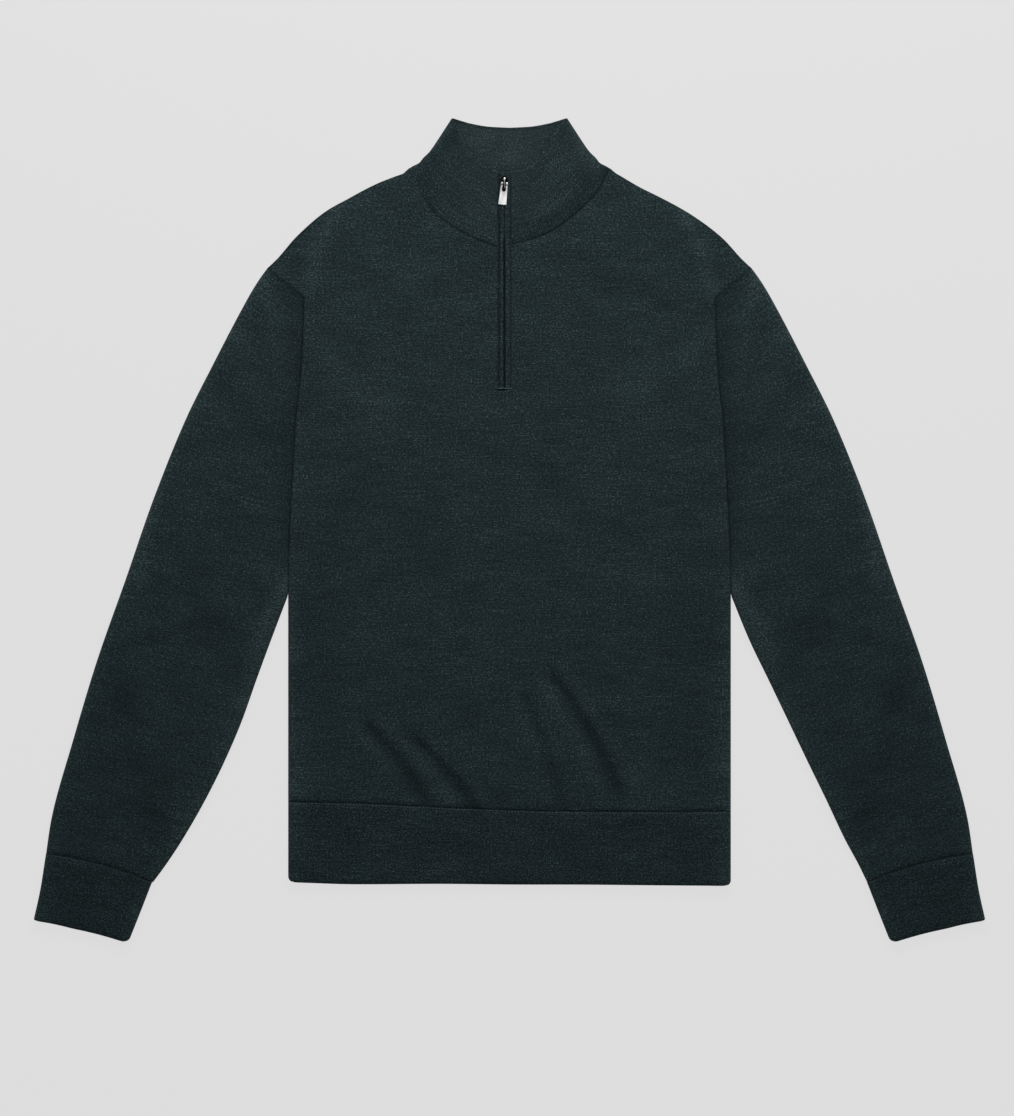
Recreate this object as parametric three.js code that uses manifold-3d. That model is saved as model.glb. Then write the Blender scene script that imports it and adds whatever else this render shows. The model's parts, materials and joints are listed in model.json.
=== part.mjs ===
// A quarter zip sweater in fine wool jersey, laid flat on its back with its arms beside it.
// Millimetres: x runs across the front, y up from the hem to the collar, z up from the surface below.
// "right" and "left" are the wearer's, so the right sleeve lies on the side of negative x.
import * as THREE from "three";
import { mergeVertices } from "three/addons/utils/BufferGeometryUtils.js";
import Module from "manifold-3d";

const wasm = await Module();
wasm.setup();

// Cloth and seams
const jerseyWall = 1.6; // one layer of the knitted panels
const bandWall = 2.4; // the doubled cloth of the hem band and cuffs
const collarWall = 2.6; // the doubled cloth of the collar
const seamGap = 0.3; // between two pieces where they are sewn
const halfGap = seamGap / 2;
const diagonalGap = 0.25; // how far a sleeve's head is drawn back from the slanting part of the armhole

// Heights of the flattened garment above the surface
const bodyLoft = 6; // front and back with the air between them
const foldLift = 1.2; // how much higher the cloth springs at a folded edge
const foldReach = 16; // how far in from the edge that spring dies away
const bandLoft = 7.4;
const collarLoft = 9;
const collarBase = 6; // where the collar leaves the neckline
const rollRadius = 3.6; // of a folded edge
const seamDip = 0.9; // depth of the groove along a seam
const seamDipReach = 3;
const swell = 0.5; // height of the slow unevenness of cloth laid by hand
const swellAcross = 74;
const swellUp = 96;

// The body's outline
const bodyHalf = 217; // half its width at the hem
const neckHalf = 98.5; // from the centre line to where collar and shoulder meet
const neckUp = 702.2;
const straightHalf = 100; // the columns of the panels stay upright within this distance of the centre
const sideLow = 81; // the hem band's seam at the side
const underarm = 446;
const sleeveMeetsBody = 284; // above this the sleeve's inner fold lies against the body's side
const armholeCorner = { out: 201, up: 575 };
const shoulderPoint = { out: 235.5, up: 603 };

// The side and the armhole, from the hem band to the shoulder point
const sideRows = [
  { up: sideLow, out: bodyHalf },
  { up: sleeveMeetsBody, out: bodyHalf },
  { up: underarm, out: 210 },
  { up: 512, out: 203.5 },
  armholeCorner,
  shoulderPoint,
];

// How far the cloth is rolled over along that line: a whole fold below the underarm, a groove above it
const rollRows = [
  { up: underarm, roll: 1 },
  { up: 485, roll: 0.42 },
  { up: armholeCorner.up, roll: 0.34 },
  { up: shoulderPoint.up, roll: 0.2 },
];

const shoulderRows = [
  { out: neckHalf, up: neckUp },
  { out: 111, up: 694.3 },
  { out: 135, up: 682.6 },
  { out: 158, up: 670.8 },
  { out: 180, up: 659.1 },
  { out: 208.3, up: 635.5 },
  { out: 228.8, up: 612 },
  shoulderPoint,
];

// The zip opening: its middle lies a little to the wearer's right of the centre line
const zipMiddle = -5;
const stripWidth = 6.7;
const stripGap = 0.5; // the slit between the two covered strips
const zipHalf = stripWidth + stripGap / 2;
const zipBottom = 486.6;
const zipTop = 697.3;
const slotRight = zipMiddle - zipHalf - seamGap;
const slotLeft = zipMiddle + zipHalf + seamGap;

// The seam between the front and the collar
const neckRows = [
  { across: -neckHalf, up: neckUp },
  { across: -92.6, up: 690 },
  { across: -83, up: 671 },
  { across: -71, up: 656 },
  { across: -53, up: 643.4 },
  { across: -34, up: 633.6 },
  { across: slotRight, up: 624.8 },
  { across: slotLeft, up: 627.6 },
  { across: 15.5, up: 630.8 },
  { across: 35, up: 637.5 },
  { across: 54, up: 649.3 },
  { across: 74, up: 666 },
  { across: 89, up: 683 },
  { across: neckHalf, up: neckUp },
];

// The seam between the back and the collar
const backNeckRows = [
  { out: 0, up: 672 },
  { out: 40, up: 674.5 },
  { out: 66, up: 681 },
  { out: 86, up: 690.5 },
  { out: neckHalf, up: neckUp },
];

// The collar's folded side up to its corner, and the upper edges of its front and its back
const collarCorner = { out: 57, up: 750 };
const collarSideRows = [
  { up: neckUp, out: neckHalf },
  { up: 710, out: 87.5 },
  { up: 718, out: 79.2 },
  { up: 729.6, out: 70.5 },
  { up: 741.4, out: 62.7 },
  collarCorner,
];
const collarFrontRows = [
  { across: -collarCorner.out, up: collarCorner.up },
  { across: -51.5, up: 739.4 },
  { across: -42.6, up: 721.8 },
  { across: -34.8, up: 711 },
  { across: -25, up: 703 },
  { across: slotRight, up: zipTop },
  { across: slotLeft, up: zipTop },
  { across: 20, up: 702 },
  { across: 30, up: 711.5 },
  { across: 38, up: 724.5 },
  { across: 44, up: 736 },
  { across: collarCorner.out, up: collarCorner.up },
];
const collarBackRows = [
  { out: 0, up: 740.9 },
  { out: 19.5, up: 741.9 },
  { out: 38, up: 745 },
  { out: 50, up: 748.4 },
  { out: collarCorner.out, up: 750.7 },
];

// The sleeve's outer fold, from the cuff to the shoulder point
const sleeveOuterRows = [
  { up: 30, out: 454.5 },
  { up: 63, out: 449.5 },
  { up: 142, out: 427.8 },
  { up: 220, out: 404.3 },
  { up: 298, out: 376.8 },
  { up: 377, out: 349.4 },
  { up: 455, out: 318 },
  { up: 514, out: 288.6 },
  { up: 573, out: 257.3 },
  shoulderPoint,
];

// The sleeve's inner fold, from the cuff to where it meets the body's side, on the wearer's right and left
const sleeveInnerRows = [
  { up: 2, right: 350.5, left: 350.5 },
  { up: 44, right: 321, left: 327 },
  { up: 83, right: 298.4, left: 310 },
  { up: 122, right: 278.8, left: 291.6 },
  { up: 161, right: 262.2, left: 273 },
  { up: 200, right: 248.4, left: 254.3 },
  { up: 240, right: 233.7, left: 235 },
  { up: sleeveMeetsBody, right: bodyHalf, left: bodyHalf },
];
const cuffSeamBow = 4; // how far the cuff's seam bows towards the shoulder
const cuffBowReach = 0.125; // the part of the sleeve's length over which that bow dies away

// The cuff, from its lower edge to its seam
const cuffRows = [
  { along: 0, outer: 466.7, outerUp: -35.5, inner: 373.3, innerUp: -53.2 },
  { along: 0.5, outer: 460, outerUp: -5, inner: 360.6, innerUp: -23 },
  { along: 1, outer: 454.5, outerUp: 30, inner: 350.5, innerUp: 2 },
];

// The hem band's lower edge and the seam above it
const hemRows = [
  { across: -bodyHalf, low: 2.5, seam: 80.8 },
  { across: -150, low: 0.5, seam: 79.3 },
  { across: -58, low: 1.2, seam: 75 },
  { across: 50, low: 0.6, seam: 71.5 },
  { across: 150, low: -0.6, seam: 71 },
  { across: bodyHalf, low: -1.2, seam: 71.5 },
];

// The largest folds, each from one end to the other: rise is its height, or its depth when negative
const folds = [
  { from: [-147, 166], to: [-84, 84], wide: 12, rise: -1.9 },
  { from: [-163, 152], to: [-104, 86], wide: 11, rise: 1.5 },
  { from: [-95, 152], to: [-35, 76], wide: 11, rise: -1.6 },
  { from: [-120, 156], to: [-60, 84], wide: 10, rise: 1.6 },
  { from: [15, 186], to: [50, 80], wide: 10, rise: -1.1 },
  { from: [47, 200], to: [107, 92], wide: 12, rise: -2.2 },
  { from: [66, 206], to: [128, 96], wide: 12, rise: 2 },
  { from: [32, 190], to: [84, 96], wide: 11, rise: 1.4 },
  { from: [-181, 640], to: [-204, 580], wide: 11, rise: 1.5 },
  { from: [181, 640], to: [204, 580], wide: 11, rise: 1.5 },
  { from: [-196, 540], to: [-120, 470], wide: 16, rise: 1.2 },
  { from: [196, 540], to: [118, 480], wide: 16, rise: 1.2 },
  { from: [-350, 392], to: [-361, 300], wide: 8, rise: 1.5 },
  { from: [350, 392], to: [361, 300], wide: 8, rise: 1.5 },
  { from: [-232, 270], to: [-300, 116], wide: 10, rise: 1.5 },
  { from: [232, 270], to: [308, 116], wide: 10, rise: 1.5 },
  { from: [-300, 500], to: [-232, 430], wide: 15, rise: -1.1 },
  { from: [300, 500], to: [232, 430], wide: 15, rise: -1.1 },
];

const degree = Math.PI / 180;
const seamAngle = 2.4; // where a rolled edge stops short of its seam, in degrees round the roll
const rollAngles = [30, 60, 90];
const foldTurn = [90, 60, 30, 0, -30, -60, -90]; // round a whole fold, from the upper layer to the lower

// A table read as straight stretches between its rows
function along(rows, key, value, at) {
  const last = rows.length - 1;
  const rising = rows[last][key] > rows[0][key];
  let i = 0;
  while (i < last - 1 && (rising ? at > rows[i + 1][key] : at < rows[i + 1][key])) i += 1;
  const [a, b] = [rows[i], rows[i + 1]];
  return THREE.MathUtils.lerp(a[value], b[value], (at - a[key]) / (b[key] - a[key]));
}

const sideOut = (up) => along(sideRows, "up", "out", up);
const sideRoll = (up) => (up < underarm ? 1 : along(rollRows, "up", "roll", up));

// The largest folds and the slow unevenness, as the height of the upper layer
function lie(x, y) {
  let height = bodyLoft + swell * Math.sin(x / swellAcross + 0.6) * Math.sin(y / swellUp + 0.3);
  for (const { from, to, wide, rise } of folds) {
    const [dx, dy] = [to[0] - from[0], to[1] - from[1]];
    const length = Math.hypot(dx, dy);
    const reach = ((x - from[0]) * dx + (y - from[1]) * dy) / length;
    const aside = ((x - from[0]) * dy - (y - from[1]) * dx) / length;
    const past = Math.max(0, -reach, reach - length) / (2 * wide);
    height += rise * Math.exp(-((aside / wide) ** 2) - past ** 2);
  }
  return height;
}

const lift = (distance) => foldLift * Math.exp(-((distance / foldReach) ** 2));
const dip = (distance) => seamDip * Math.exp(-((distance / seamDipReach) ** 2));

// How far in from an edge a point of its roll lies, at an angle round it, on the outer or the inner face
function inset(angle, roll, wall, outer) {
  const start = outer ? 0 : roll * wall;
  return start + (rollRadius - start) * (1 - Math.cos(angle * degree));
}

// The height of a point of the upper or lower layer, where drop is how far it has rolled over, from 0 to 1
function layerHeight({ height, drop, wall, outer, lower }) {
  const skin = outer ? 0 : wall;
  const rolled = skin + (height / 2 - skin) * drop;
  return lower ? rolled : height - rolled;
}

const rolled = (angle, roll) => roll * (1 - Math.sin(angle * degree));

// A closed wall of cloth between two grids of points. Cells named by open are left out, and every free edge
// of the cells that stay gets a rim, which is rounded on the rows named by soft.
function clothWall(name, material, { outer, inner, closed = false, flip = false, open, soft = {} }) {
  const rows = outer.length;
  const columns = outer[0].length;
  const cells = closed ? columns : columns - 1;
  const points = [...outer.flat(), ...inner.flat()];
  const index = [];
  const at = (layer, row, column) => (layer * rows + row) * columns + (column % columns);
  const present = (row, column) => {
    if (row < 0 || row >= rows - 1) return false;
    if (!closed && (column < 0 || column >= cells)) return false;
    return !open || !open(row, (column + cells) % cells);
  };
  const face = (a, b, c) => index.push(...(flip ? [a, c, b] : [a, b, c]));
  const quad = (a, b, c, d) => {
    face(a, b, c);
    face(a, c, d);
  };
  const middles = new Map();
  const middleOf = (row, column, back) => {
    const key = at(0, row, column);
    if (!middles.has(key)) {
      const [face0, face1] = [outer[row][column % columns], inner[row][column % columns]];
      const away = face0.clone().sub(outer[back][column % columns]).setLength(face0.distanceTo(face1) * 0.4);
      middles.set(key, points.length);
      points.push(face0.clone().add(face1).multiplyScalar(0.5).add(away));
    }
    return middles.get(key);
  };
  // A rim along one edge of the outer face, from p to q
  const rim = (p, q) => quad(at(0, ...q), at(0, ...p), at(1, ...p), at(1, ...q));
  const softRim = (p, q, back, ends) => {
    const [mp, mq] = [middleOf(...p, back), middleOf(...q, back)];
    quad(at(0, ...q), at(0, ...p), mp, mq);
    quad(mq, mp, at(1, ...p), at(1, ...q));
    if (ends.first) face(at(0, ...p), at(1, ...p), mp);
    if (ends.last) face(at(0, ...q), mq, at(1, ...q));
  };
  for (let row = 0; row < rows - 1; row += 1) {
    for (let column = 0; column < cells; column += 1) {
      if (!present(row, column)) continue;
      const [a, b] = [[row, column], [row, column + 1]];
      const [c, d] = [[row + 1, column + 1], [row + 1, column]];
      quad(at(0, ...a), at(0, ...b), at(0, ...c), at(0, ...d));
      quad(at(1, ...a), at(1, ...d), at(1, ...c), at(1, ...b));
      const startEdge = !present(row, column - 1);
      const endEdge = !present(row, column + 1);
      if (!present(row - 1, column)) {
        if (soft.first && row === 0) softRim(a, b, 1, { first: startEdge, last: endEdge });
        else rim(a, b);
      }
      if (!present(row + 1, column)) {
        if (soft.last && row === rows - 2) softRim(c, d, rows - 2, { first: endEdge, last: startEdge });
        else rim(c, d);
      }
      if (startEdge) rim(d, a);
      if (endEdge) rim(b, c);
    }
  }
  const geometry = new THREE.BufferGeometry();
  geometry.setAttribute("position", new THREE.Float32BufferAttribute(points.flatMap((p) => p.toArray()), 3));
  geometry.setIndex(index);
  return namedMesh(name, tidied(geometry), material);
}

// Only the positions, each point once, and no point that no face uses
function tidied(geometry) {
  const loose = geometry.index ? geometry.toNonIndexed() : geometry.clone();
  const bare = new THREE.BufferGeometry().setAttribute("position", loose.getAttribute("position"));
  return mergeVertices(bare, 1e-4);
}

function namedMesh(name, geometry, material) {
  geometry.computeVertexNormals();
  const mesh = new THREE.Mesh(geometry, material);
  mesh.name = name;
  return mesh;
}

// Finishes, with the colours of the worn wool and the metal
function finish(color, roughness, metalness) {
  return new THREE.MeshStandardMaterial({ color, roughness, metalness });
}
const jersey = finish("#2c3a3d", 0.95, 0);
const bandKnit = finish("#273437", 0.95, 0);
const stripKnit = finish("#27353a", 0.95, 0);
const zipTeeth = finish("#14191b", 0.6, 0);
const darkMetal = finish("#2b2e30", 0.4, 0.8);
const silver = finish("#dadcdd", 0.25, 1);

// The front and back panels: upright columns between the hem band's seam and the shoulder and neckline
function bodyColumns(across) {
  const edge = (side, angle) => ({ side, angle });
  return [
    ...[seamAngle, ...rollAngles].map((angle) => edge(-1, angle)),
    ...across.map((x) => ({ x })),
    ...[seamAngle, ...rollAngles].reverse().map((angle) => edge(1, angle)),
  ];
}

function bodyRows(ups) {
  return [
    ...ups.map((up) => ({ up, angle: 90 })),
    ...[seamAngle, ...rollAngles].reverse().map((angle) => ({ up: shoulderPoint.up, angle })),
  ];
}

function bodyPoint(column, row, { neck, wall, outer, lower }) {
  const share = (row.up - sideLow) / (shoulderPoint.up - sideLow);
  const shoulderRow = share === 1;
  // Where the column meets the top edge, and how steep that edge is there
  const topX = column.side ? column.side * shoulderPoint.out : spread(column.x, shoulderPoint.out);
  const onShoulder = Math.abs(topX) >= neckHalf - 1e-6;
  const edgeOf = (x) => (onShoulder ? along(shoulderRows, "out", "up", Math.abs(x)) : neck(x));
  const inward = onShoulder ? -Math.sign(topX) : 1;
  const steep = steepness(edgeOf, topX, inward);
  const topRoll = onShoulder ? 1 : 0;
  const back = shoulderRow ? inset(row.angle, topRoll, wall, outer) / Math.cos(steep) : 0;
  const sideUp = row.up - back;
  const out = sideOut(sideUp) - halfGap;
  const roll = sideRoll(sideUp);
  const aside = column.side ? inset(column.angle, roll, wall, outer) : 0;
  const x = column.side ? column.side * (out - aside) : spread(column.x, out);
  const low = along(hemRows, "across", "seam", THREE.MathUtils.clamp(x, -bodyHalf, bodyHalf)) + halfGap;
  const high = edgeOf(topX) - (onShoulder ? 0 : halfGap / Math.cos(steep));
  const y = THREE.MathUtils.lerp(low, high, share) - back;
  // The layer's height, dipped at the hem and neck seams and rolled over at the side and the shoulder
  const fromTop = (high - y) * Math.cos(steep);
  const seams = dip(y - low) + (onShoulder ? 0 : dip(fromTop));
  const height = lie(x, y) + lift(out - Math.abs(x)) * roll + lift(fromTop) * topRoll - seams;
  const sideDrop = column.side ? rolled(column.angle, roll) : 0;
  const topDrop = shoulderRow ? rolled(row.angle, topRoll) : 0;
  const z = layerHeight({ height, drop: Math.max(sideDrop, topDrop), wall, outer, lower });
  return new THREE.Vector3(x, y, z);
}

// How steep a seam is at x, as an angle, measured over a short step to one side
function steepness(seam, x, side) {
  const step = 0.5;
  return Math.atan(Math.abs(seam(x + side * step) - seam(x)) / step);
}

// A column's place across, spread towards a side that lies out there
function spread(x, out) {
  const near = THREE.MathUtils.smoothstep(Math.abs(x), straightHalf, bodyHalf - rollRadius);
  return x + Math.sign(x) * near * (out - bodyHalf);
}

function bodyPanel(name, { columns, rows, neck, lower, open }) {
  const line = (row, layer) => columns.map((column) => bodyPoint(column, row, { neck, wall: jerseyWall, ...layer }));
  const grid = (outer) => rows.map((row) => line(row, { outer, lower }));
  return clothWall(name, jersey, { outer: grid(true), inner: grid(false), flip: lower, open });
}

function front() {
  const across = [-207, -193, -177, -161, -146, -131, -116, ...neckRows.map((row) => row.across)];
  const columns = bodyColumns([...across, 116, 131, 146, 161, 177, 193, 207]);
  const ups = [sideLow, 84, 93, 104, 116, 128, 140, 153, 168, 186, 210, 245, 284, 325, 368, 408, underarm];
  const slotUp = 470; // the row that crosses the middle at the zip's lower end
  const rows = bodyRows([...ups, slotUp, 490, 512, 534, 555, armholeCorner.up, 584]);
  const slotRow = rows.findIndex((row) => row.up === slotUp);
  const slotColumn = columns.findIndex((column) => column.x === slotRight);
  const neck = (x) => along(neckRows, "across", "up", x);
  const open = (row, column) => column === slotColumn && row >= slotRow;
  return bodyPanel("front", { columns, rows, neck, lower: false, open });
}

function back() {
  const near = [-neckHalf, -86, -66, -40, 0, 40, 66, 86, neckHalf];
  const columns = bodyColumns([-207, -180, -146, -118, ...near, 118, 146, 180, 207]);
  const rows = bodyRows([sideLow, 84, 110, 180, 284, 368, underarm, 485, 512, 545, armholeCorner.up, 584]);
  const neck = (x) => along(backNeckRows, "out", "up", Math.abs(x));
  return bodyPanel("back", { columns, rows, neck, lower: true });
}

// The columns round a flattened tube, from one folded edge over the top to the other and back below
function tubeColumns(parts, start) {
  const rise = [...start, ...rollAngles];
  const fall = [...rollAngles, ...start.filter((angle) => angle > 0)].sort((a, b) => b - a);
  return [
    ...rise.map((angle) => ({ edge: "a", angle })),
    ...parts.map((part) => ({ part, lower: false })),
    ...foldTurn.map((angle) => ({ edge: "b", angle })),
    ...[...parts].reverse().map((part) => ({ part, lower: true })),
    ...fall.map((angle) => ({ edge: "a", angle: -angle })),
  ];
}

// One point of a flattened tube: section gives its two edges a and b, how each rolls and its height
function tubePoint(column, section, { wall, outer }) {
  const { a, b, rollA = 1, rollB = 1 } = section;
  const width = Math.hypot(b.x - a.x, b.y - a.y);
  const roll = column.edge === "b" ? rollB : rollA;
  const angle = column.edge ? column.angle : 90;
  const distance = column.edge ? inset(Math.abs(angle), roll, wall, outer) : column.part * width;
  const part = column.edge === "b" ? 1 - distance / width : distance / width;
  const x = THREE.MathUtils.lerp(a.x, b.x, part);
  const bowed = THREE.MathUtils.lerp(a.y, b.y, part) + section.bow * 4 * part * (1 - part);
  const y = section.yAt ? section.yAt(x) : bowed;
  const lifts = lift(part * width) * rollA + lift((1 - part) * width) * rollB;
  const height = section.loft + lie(x, y) - bodyLoft + lifts - section.seam;
  const drop = column.edge ? rolled(Math.abs(angle), roll) : 0;
  const lower = column.edge ? angle < 0 : column.lower;
  return new THREE.Vector3(x, y, layerHeight({ height, drop, wall, outer, lower }));
}

function tube(name, material, { columns, sections, wall, open, soft, flip }) {
  const ring = (section, outer) => columns.map((column) => tubePoint(column, section, { wall, outer }));
  const grid = (outer) => sections.map((section) => ring(section, outer));
  return clothWall(name, material, { outer: grid(true), inner: grid(false), closed: true, flip, open, soft });
}

// side is -1 on the wearer's right and 1 on the left
function sleeve(name, side) {
  const inner = side < 0 ? "right" : "left";
  const columns = tubeColumns([0.16, 0.38, 0.62, 0.84], [seamAngle]);
  const low = [2, 5, 30, 62, 97, 132, 167, 202, 240, sleeveMeetsBody, 325, 368, 408];
  const ups = [...low, underarm, 485, 512, 545, armholeCorner.up];
  const last = ups.length - 1;
  const sections = ups.map((up, i) => {
    const share = (up - ups[0]) / (ups[last] - ups[0]);
    const outerUp = THREE.MathUtils.lerp(sleeveOuterRows[0].up, shoulderPoint.up, share);
    const innerOut = up > sleeveMeetsBody ? sideOut(up) : along(sleeveInnerRows, "up", inner, up);
    const drawn = (i === last ? diagonalGap : 0) - (i === 0 ? halfGap : 0);
    return {
      a: { x: side * (innerOut + halfGap), y: up - drawn },
      b: { x: side * (along(sleeveOuterRows, "up", "out", outerUp) + halfGap), y: outerUp - drawn },
      bow: cuffSeamBow * Math.max(0, 1 - share / cuffBowReach),
      rollA: sideRoll(up),
      loft: bodyLoft,
      seam: dip(up - ups[0]),
    };
  });
  const underarmRow = ups.indexOf(underarm);
  const open = (row, column) => column === columns.length - 1 && row >= underarmRow;
  return tube(name, jersey, { columns, sections, wall: jerseyWall, open, flip: side < 0 });
}

function cuff(name, side) {
  const columns = tubeColumns([0.2, 0.4, 0.6, 0.8], [0]);
  const steps = [0, 0.04, 0.3, 0.6, 0.95, 1];
  const sections = steps.map((share) => ({
    a: { x: side * along(cuffRows, "along", "inner", share), y: along(cuffRows, "along", "innerUp", share) },
    b: { x: side * along(cuffRows, "along", "outer", share), y: along(cuffRows, "along", "outerUp", share) },
    bow: cuffSeamBow * share ** 2,
    loft: bandLoft,
    seam: share === 1 || share === 0 ? dip(0) : 0,
  }));
  sections.at(-1).a.y -= halfGap;
  sections.at(-1).b.y -= halfGap;
  return tube(name, bandKnit, { columns, sections, wall: bandWall, soft: { first: true }, flip: side < 0 });
}

function hemBand() {
  const parts = [0.04, 0.13, 0.2, 0.27, 0.34, 0.42, 0.5, 0.58, 0.66, 0.73, 0.8, 0.88, 0.96];
  const columns = tubeColumns(parts, [0]);
  const sections = [0, 0.04, 0.35, 0.7, 0.95, 1].map((share) => {
    const high = (x) => along(hemRows, "across", "seam", x) - halfGap;
    return {
      a: { x: -bodyHalf, y: 0 },
      b: { x: bodyHalf, y: 0 },
      yAt: (x) => THREE.MathUtils.lerp(along(hemRows, "across", "low", x), high(x), share),
      loft: bandLoft,
      seam: share === 1 || share === 0 ? dip(0) : 0,
    };
  });
  return tube("hem_band", bandKnit, { columns, sections, wall: bandWall, soft: { first: true } });
}

// The collar: a flattened tube, open at the zip. Each column runs from the neck seam to the upper edge.
function collar() {
  const frontX = neckRows.map((row) => row.across);
  const left = frontX.filter((x) => x >= slotLeft && x < neckHalf).map((x) => ({ x }));
  const right = frontX.filter((x) => x <= slotRight && x > -neckHalf).map((x) => ({ x }));
  const under = [86, 66, 40, 0, -40, -66, -86].map((x) => ({ x, lower: true }));
  const columns = [
    ...left,
    ...foldTurn.map((angle) => ({ side: 1, angle })),
    ...under,
    ...foldTurn.map((angle) => ({ side: -1, angle: -angle })),
    ...right,
  ];
  const steps = [0, 0.08, 0.22, 0.42, 0.64, 0.84, 1];
  const point = (column, share, outer) => {
    const side = column.side ?? (column.lower ? 0 : Math.sign(column.x - zipMiddle));
    const lower = column.side ? column.angle < 0 : column.lower;
    const distance = column.side ? inset(Math.abs(column.angle), 1, collarWall, outer) : 0;
    const seamInset = column.side ? inset(Math.abs(column.angle), 1, collarWall, true) : 0;
    const seamX = column.side ? side * (neckHalf - seamInset) : column.x;
    const sideEdge = along(collarSideRows, "up", "out", THREE.MathUtils.lerp(neckUp, collarCorner.up, share));
    const topEdge = collarCorner.out;
    // The column's ends on the neck seam and on the upper edge
    const low = column.side ? side * (neckHalf - distance) : column.x;
    const slot = side < 0 ? slotRight : slotLeft;
    const part = lower || !side ? low / neckHalf : (low - slot) / (side * neckHalf - slot);
    const high = lower || !side ? part * topEdge : THREE.MathUtils.lerp(slot, side * topEdge, part);
    const top = lower
      ? along(collarBackRows, "out", "up", Math.abs(high))
      : along(collarFrontRows, "across", "up", high);
    const backSeam = (x) => along(backNeckRows, "out", "up", Math.abs(x));
    const frontSeam = (x) => along(neckRows, "across", "up", x);
    const seamAt = lower ? backSeam : frontSeam;
    const steep = steepness(seamAt, seamX, -Math.sign(seamX || 1));
    const base = seamAt(seamX) + halfGap / Math.cos(steep);
    // The side's own curve, carried inwards and dying away towards the middle
    const chord = THREE.MathUtils.lerp(neckHalf, topEdge, share);
    const pull = Math.abs(part) ** 2 * (sideEdge - chord) * Math.sign(low || 1);
    const x = THREE.MathUtils.lerp(low, high, share) + pull;
    const y = THREE.MathUtils.lerp(base, top, share);
    const rise = THREE.MathUtils.smoothstep(share, 0, 0.24) * (collarLoft - collarBase);
    const height = collarBase + rise + lift((1 - Math.abs(part)) * neckHalf) * 0.6;
    const drop = column.side ? rolled(Math.abs(column.angle), 1) : 0;
    return new THREE.Vector3(x, y, layerHeight({ height, drop, wall: collarWall, outer, lower }));
  };
  const grid = (outer) => steps.map((share) => columns.map((column) => point(column, share, outer)));
  return clothWall("collar", bandKnit, { outer: grid(true), inner: grid(false), soft: { last: true } });
}

// The zip's heights above the surface: level on the collar, and down on the front
const stripWall = 1.8;
const stripProud = 0.3; // how far a strip stands above the cloth beside it
const collarFrom = 622; // where the strips begin to climb onto the collar
const collarClimb = 26;
const stripOn = (y) => {
  const onCollar = THREE.MathUtils.smoothstep(y, collarFrom, collarFrom + collarClimb);
  return THREE.MathUtils.lerp(lie(zipMiddle, y), collarLoft, onCollar) + stripProud;
};
const stripSection = [
  { across: 0, low: 0.7 },
  { across: 0.12, low: 0.2 },
  { across: 0.5, low: 0 },
  { across: 0.88, low: 0.2 },
  { across: 1, low: 0.7 },
];

function zipStrip(name, side) {
  const near = zipMiddle + (side * stripGap) / 2;
  const far = near + side * stripWidth;
  const [x0, x1] = [Math.min(near, far), Math.max(near, far)];
  const ups = [zipBottom, 492, 512, 535, 558, 580, 602, 622, 629, 635, 642, 648, 665, 680, 693, zipTop];
  const grid = (outer) =>
    ups.map((y) =>
      stripSection.map(({ across, low }) => {
        const z = outer ? stripOn(y) - low : stripOn(y) - stripWall;
        return new THREE.Vector3(THREE.MathUtils.lerp(x0, x1, across), y, z);
      }),
    );
  return clothWall(name, stripKnit, { outer: grid(true), inner: grid(false), soft: { last: true } });
}

// The zip's closed chain under the strips, plain here
const chainWidth = 3.4;
const chainDeep = 1;
function zipChain() {
  const ups = [zipBottom, 535, 580, 622, 629, 635, 642, 648, 672, zipTop - 3];
  const level = (y, deep) => stripOn(y) - stripWall - seamGap - deep;
  const edges = [zipMiddle - chainWidth / 2, zipMiddle + chainWidth / 2];
  const grid = (deep) => ups.map((y) => edges.map((x) => new THREE.Vector3(x, y, level(y, deep))));
  return clothWall("zip_chain", zipTeeth, { outer: grid(0), inner: grid(chainDeep) });
}

// The slider at the top of the closed zip, its bridge and the pull tab that hangs on the bridge's pin
const slider = { middleUp: 687.9, length: 13.4, width: 7.6, narrow: 0.72, high: 1.1, edge: 0.4 };
const sliderBase = collarLoft + stripProud + seamGap;
const sliderTop = sliderBase + slider.high;
const pin = { radius: 0.6, length: 6.4, above: 1.25 };
const hinge = new THREE.Vector3(zipMiddle + 0.1, 686.6, sliderTop + seamGap + pin.above);
const tabTurn = -6 * degree; // the tab hangs a little askew, with its end towards the wearer's right
const tabSlope = 5.5 * degree; // and leans down from its pin to the strips
const tab = { shoulder: 1.5, taper: 0.3, end: 20.8, topWidth: 7.2, endWidth: 8.4, thick: 1.1, corner: 0.9 };
const eye = { radius: 1.25, hole: 0.9, wide: 1.8 };
const tabSlot = { width: 3.2, end: 7.1 };
const bridge = { bulbUp: 691.8, bulbRadius: 1.5, stem: 1.5, endUp: 681.4, high: 2.5, flareFrom: 3.4, flareBend: 1.6 };

// A closed three.js geometry as a solid, for joining and cutting, and back again
function solidOf(geometry) {
  const bare = tidied(geometry);
  const mesh = new wasm.Mesh({
    numProp: 3,
    vertProperties: new Float32Array(bare.getAttribute("position").array),
    triVerts: new Uint32Array(bare.index.array),
  });
  return new wasm.Manifold(mesh);
}

function geometryOf(solid) {
  const mesh = solid.getMesh();
  const geometry = new THREE.BufferGeometry();
  geometry.setAttribute("position", new THREE.BufferAttribute(new Float32Array(mesh.vertProperties), 3));
  geometry.setIndex(new THREE.BufferAttribute(new Uint32Array(mesh.triVerts), 1));
  return geometry;
}

// A cylinder that lies along x
function crossRod(radius, length, sides) {
  return new THREE.CylinderGeometry(radius, radius, length, sides).rotateZ(Math.PI / 2);
}

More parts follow.
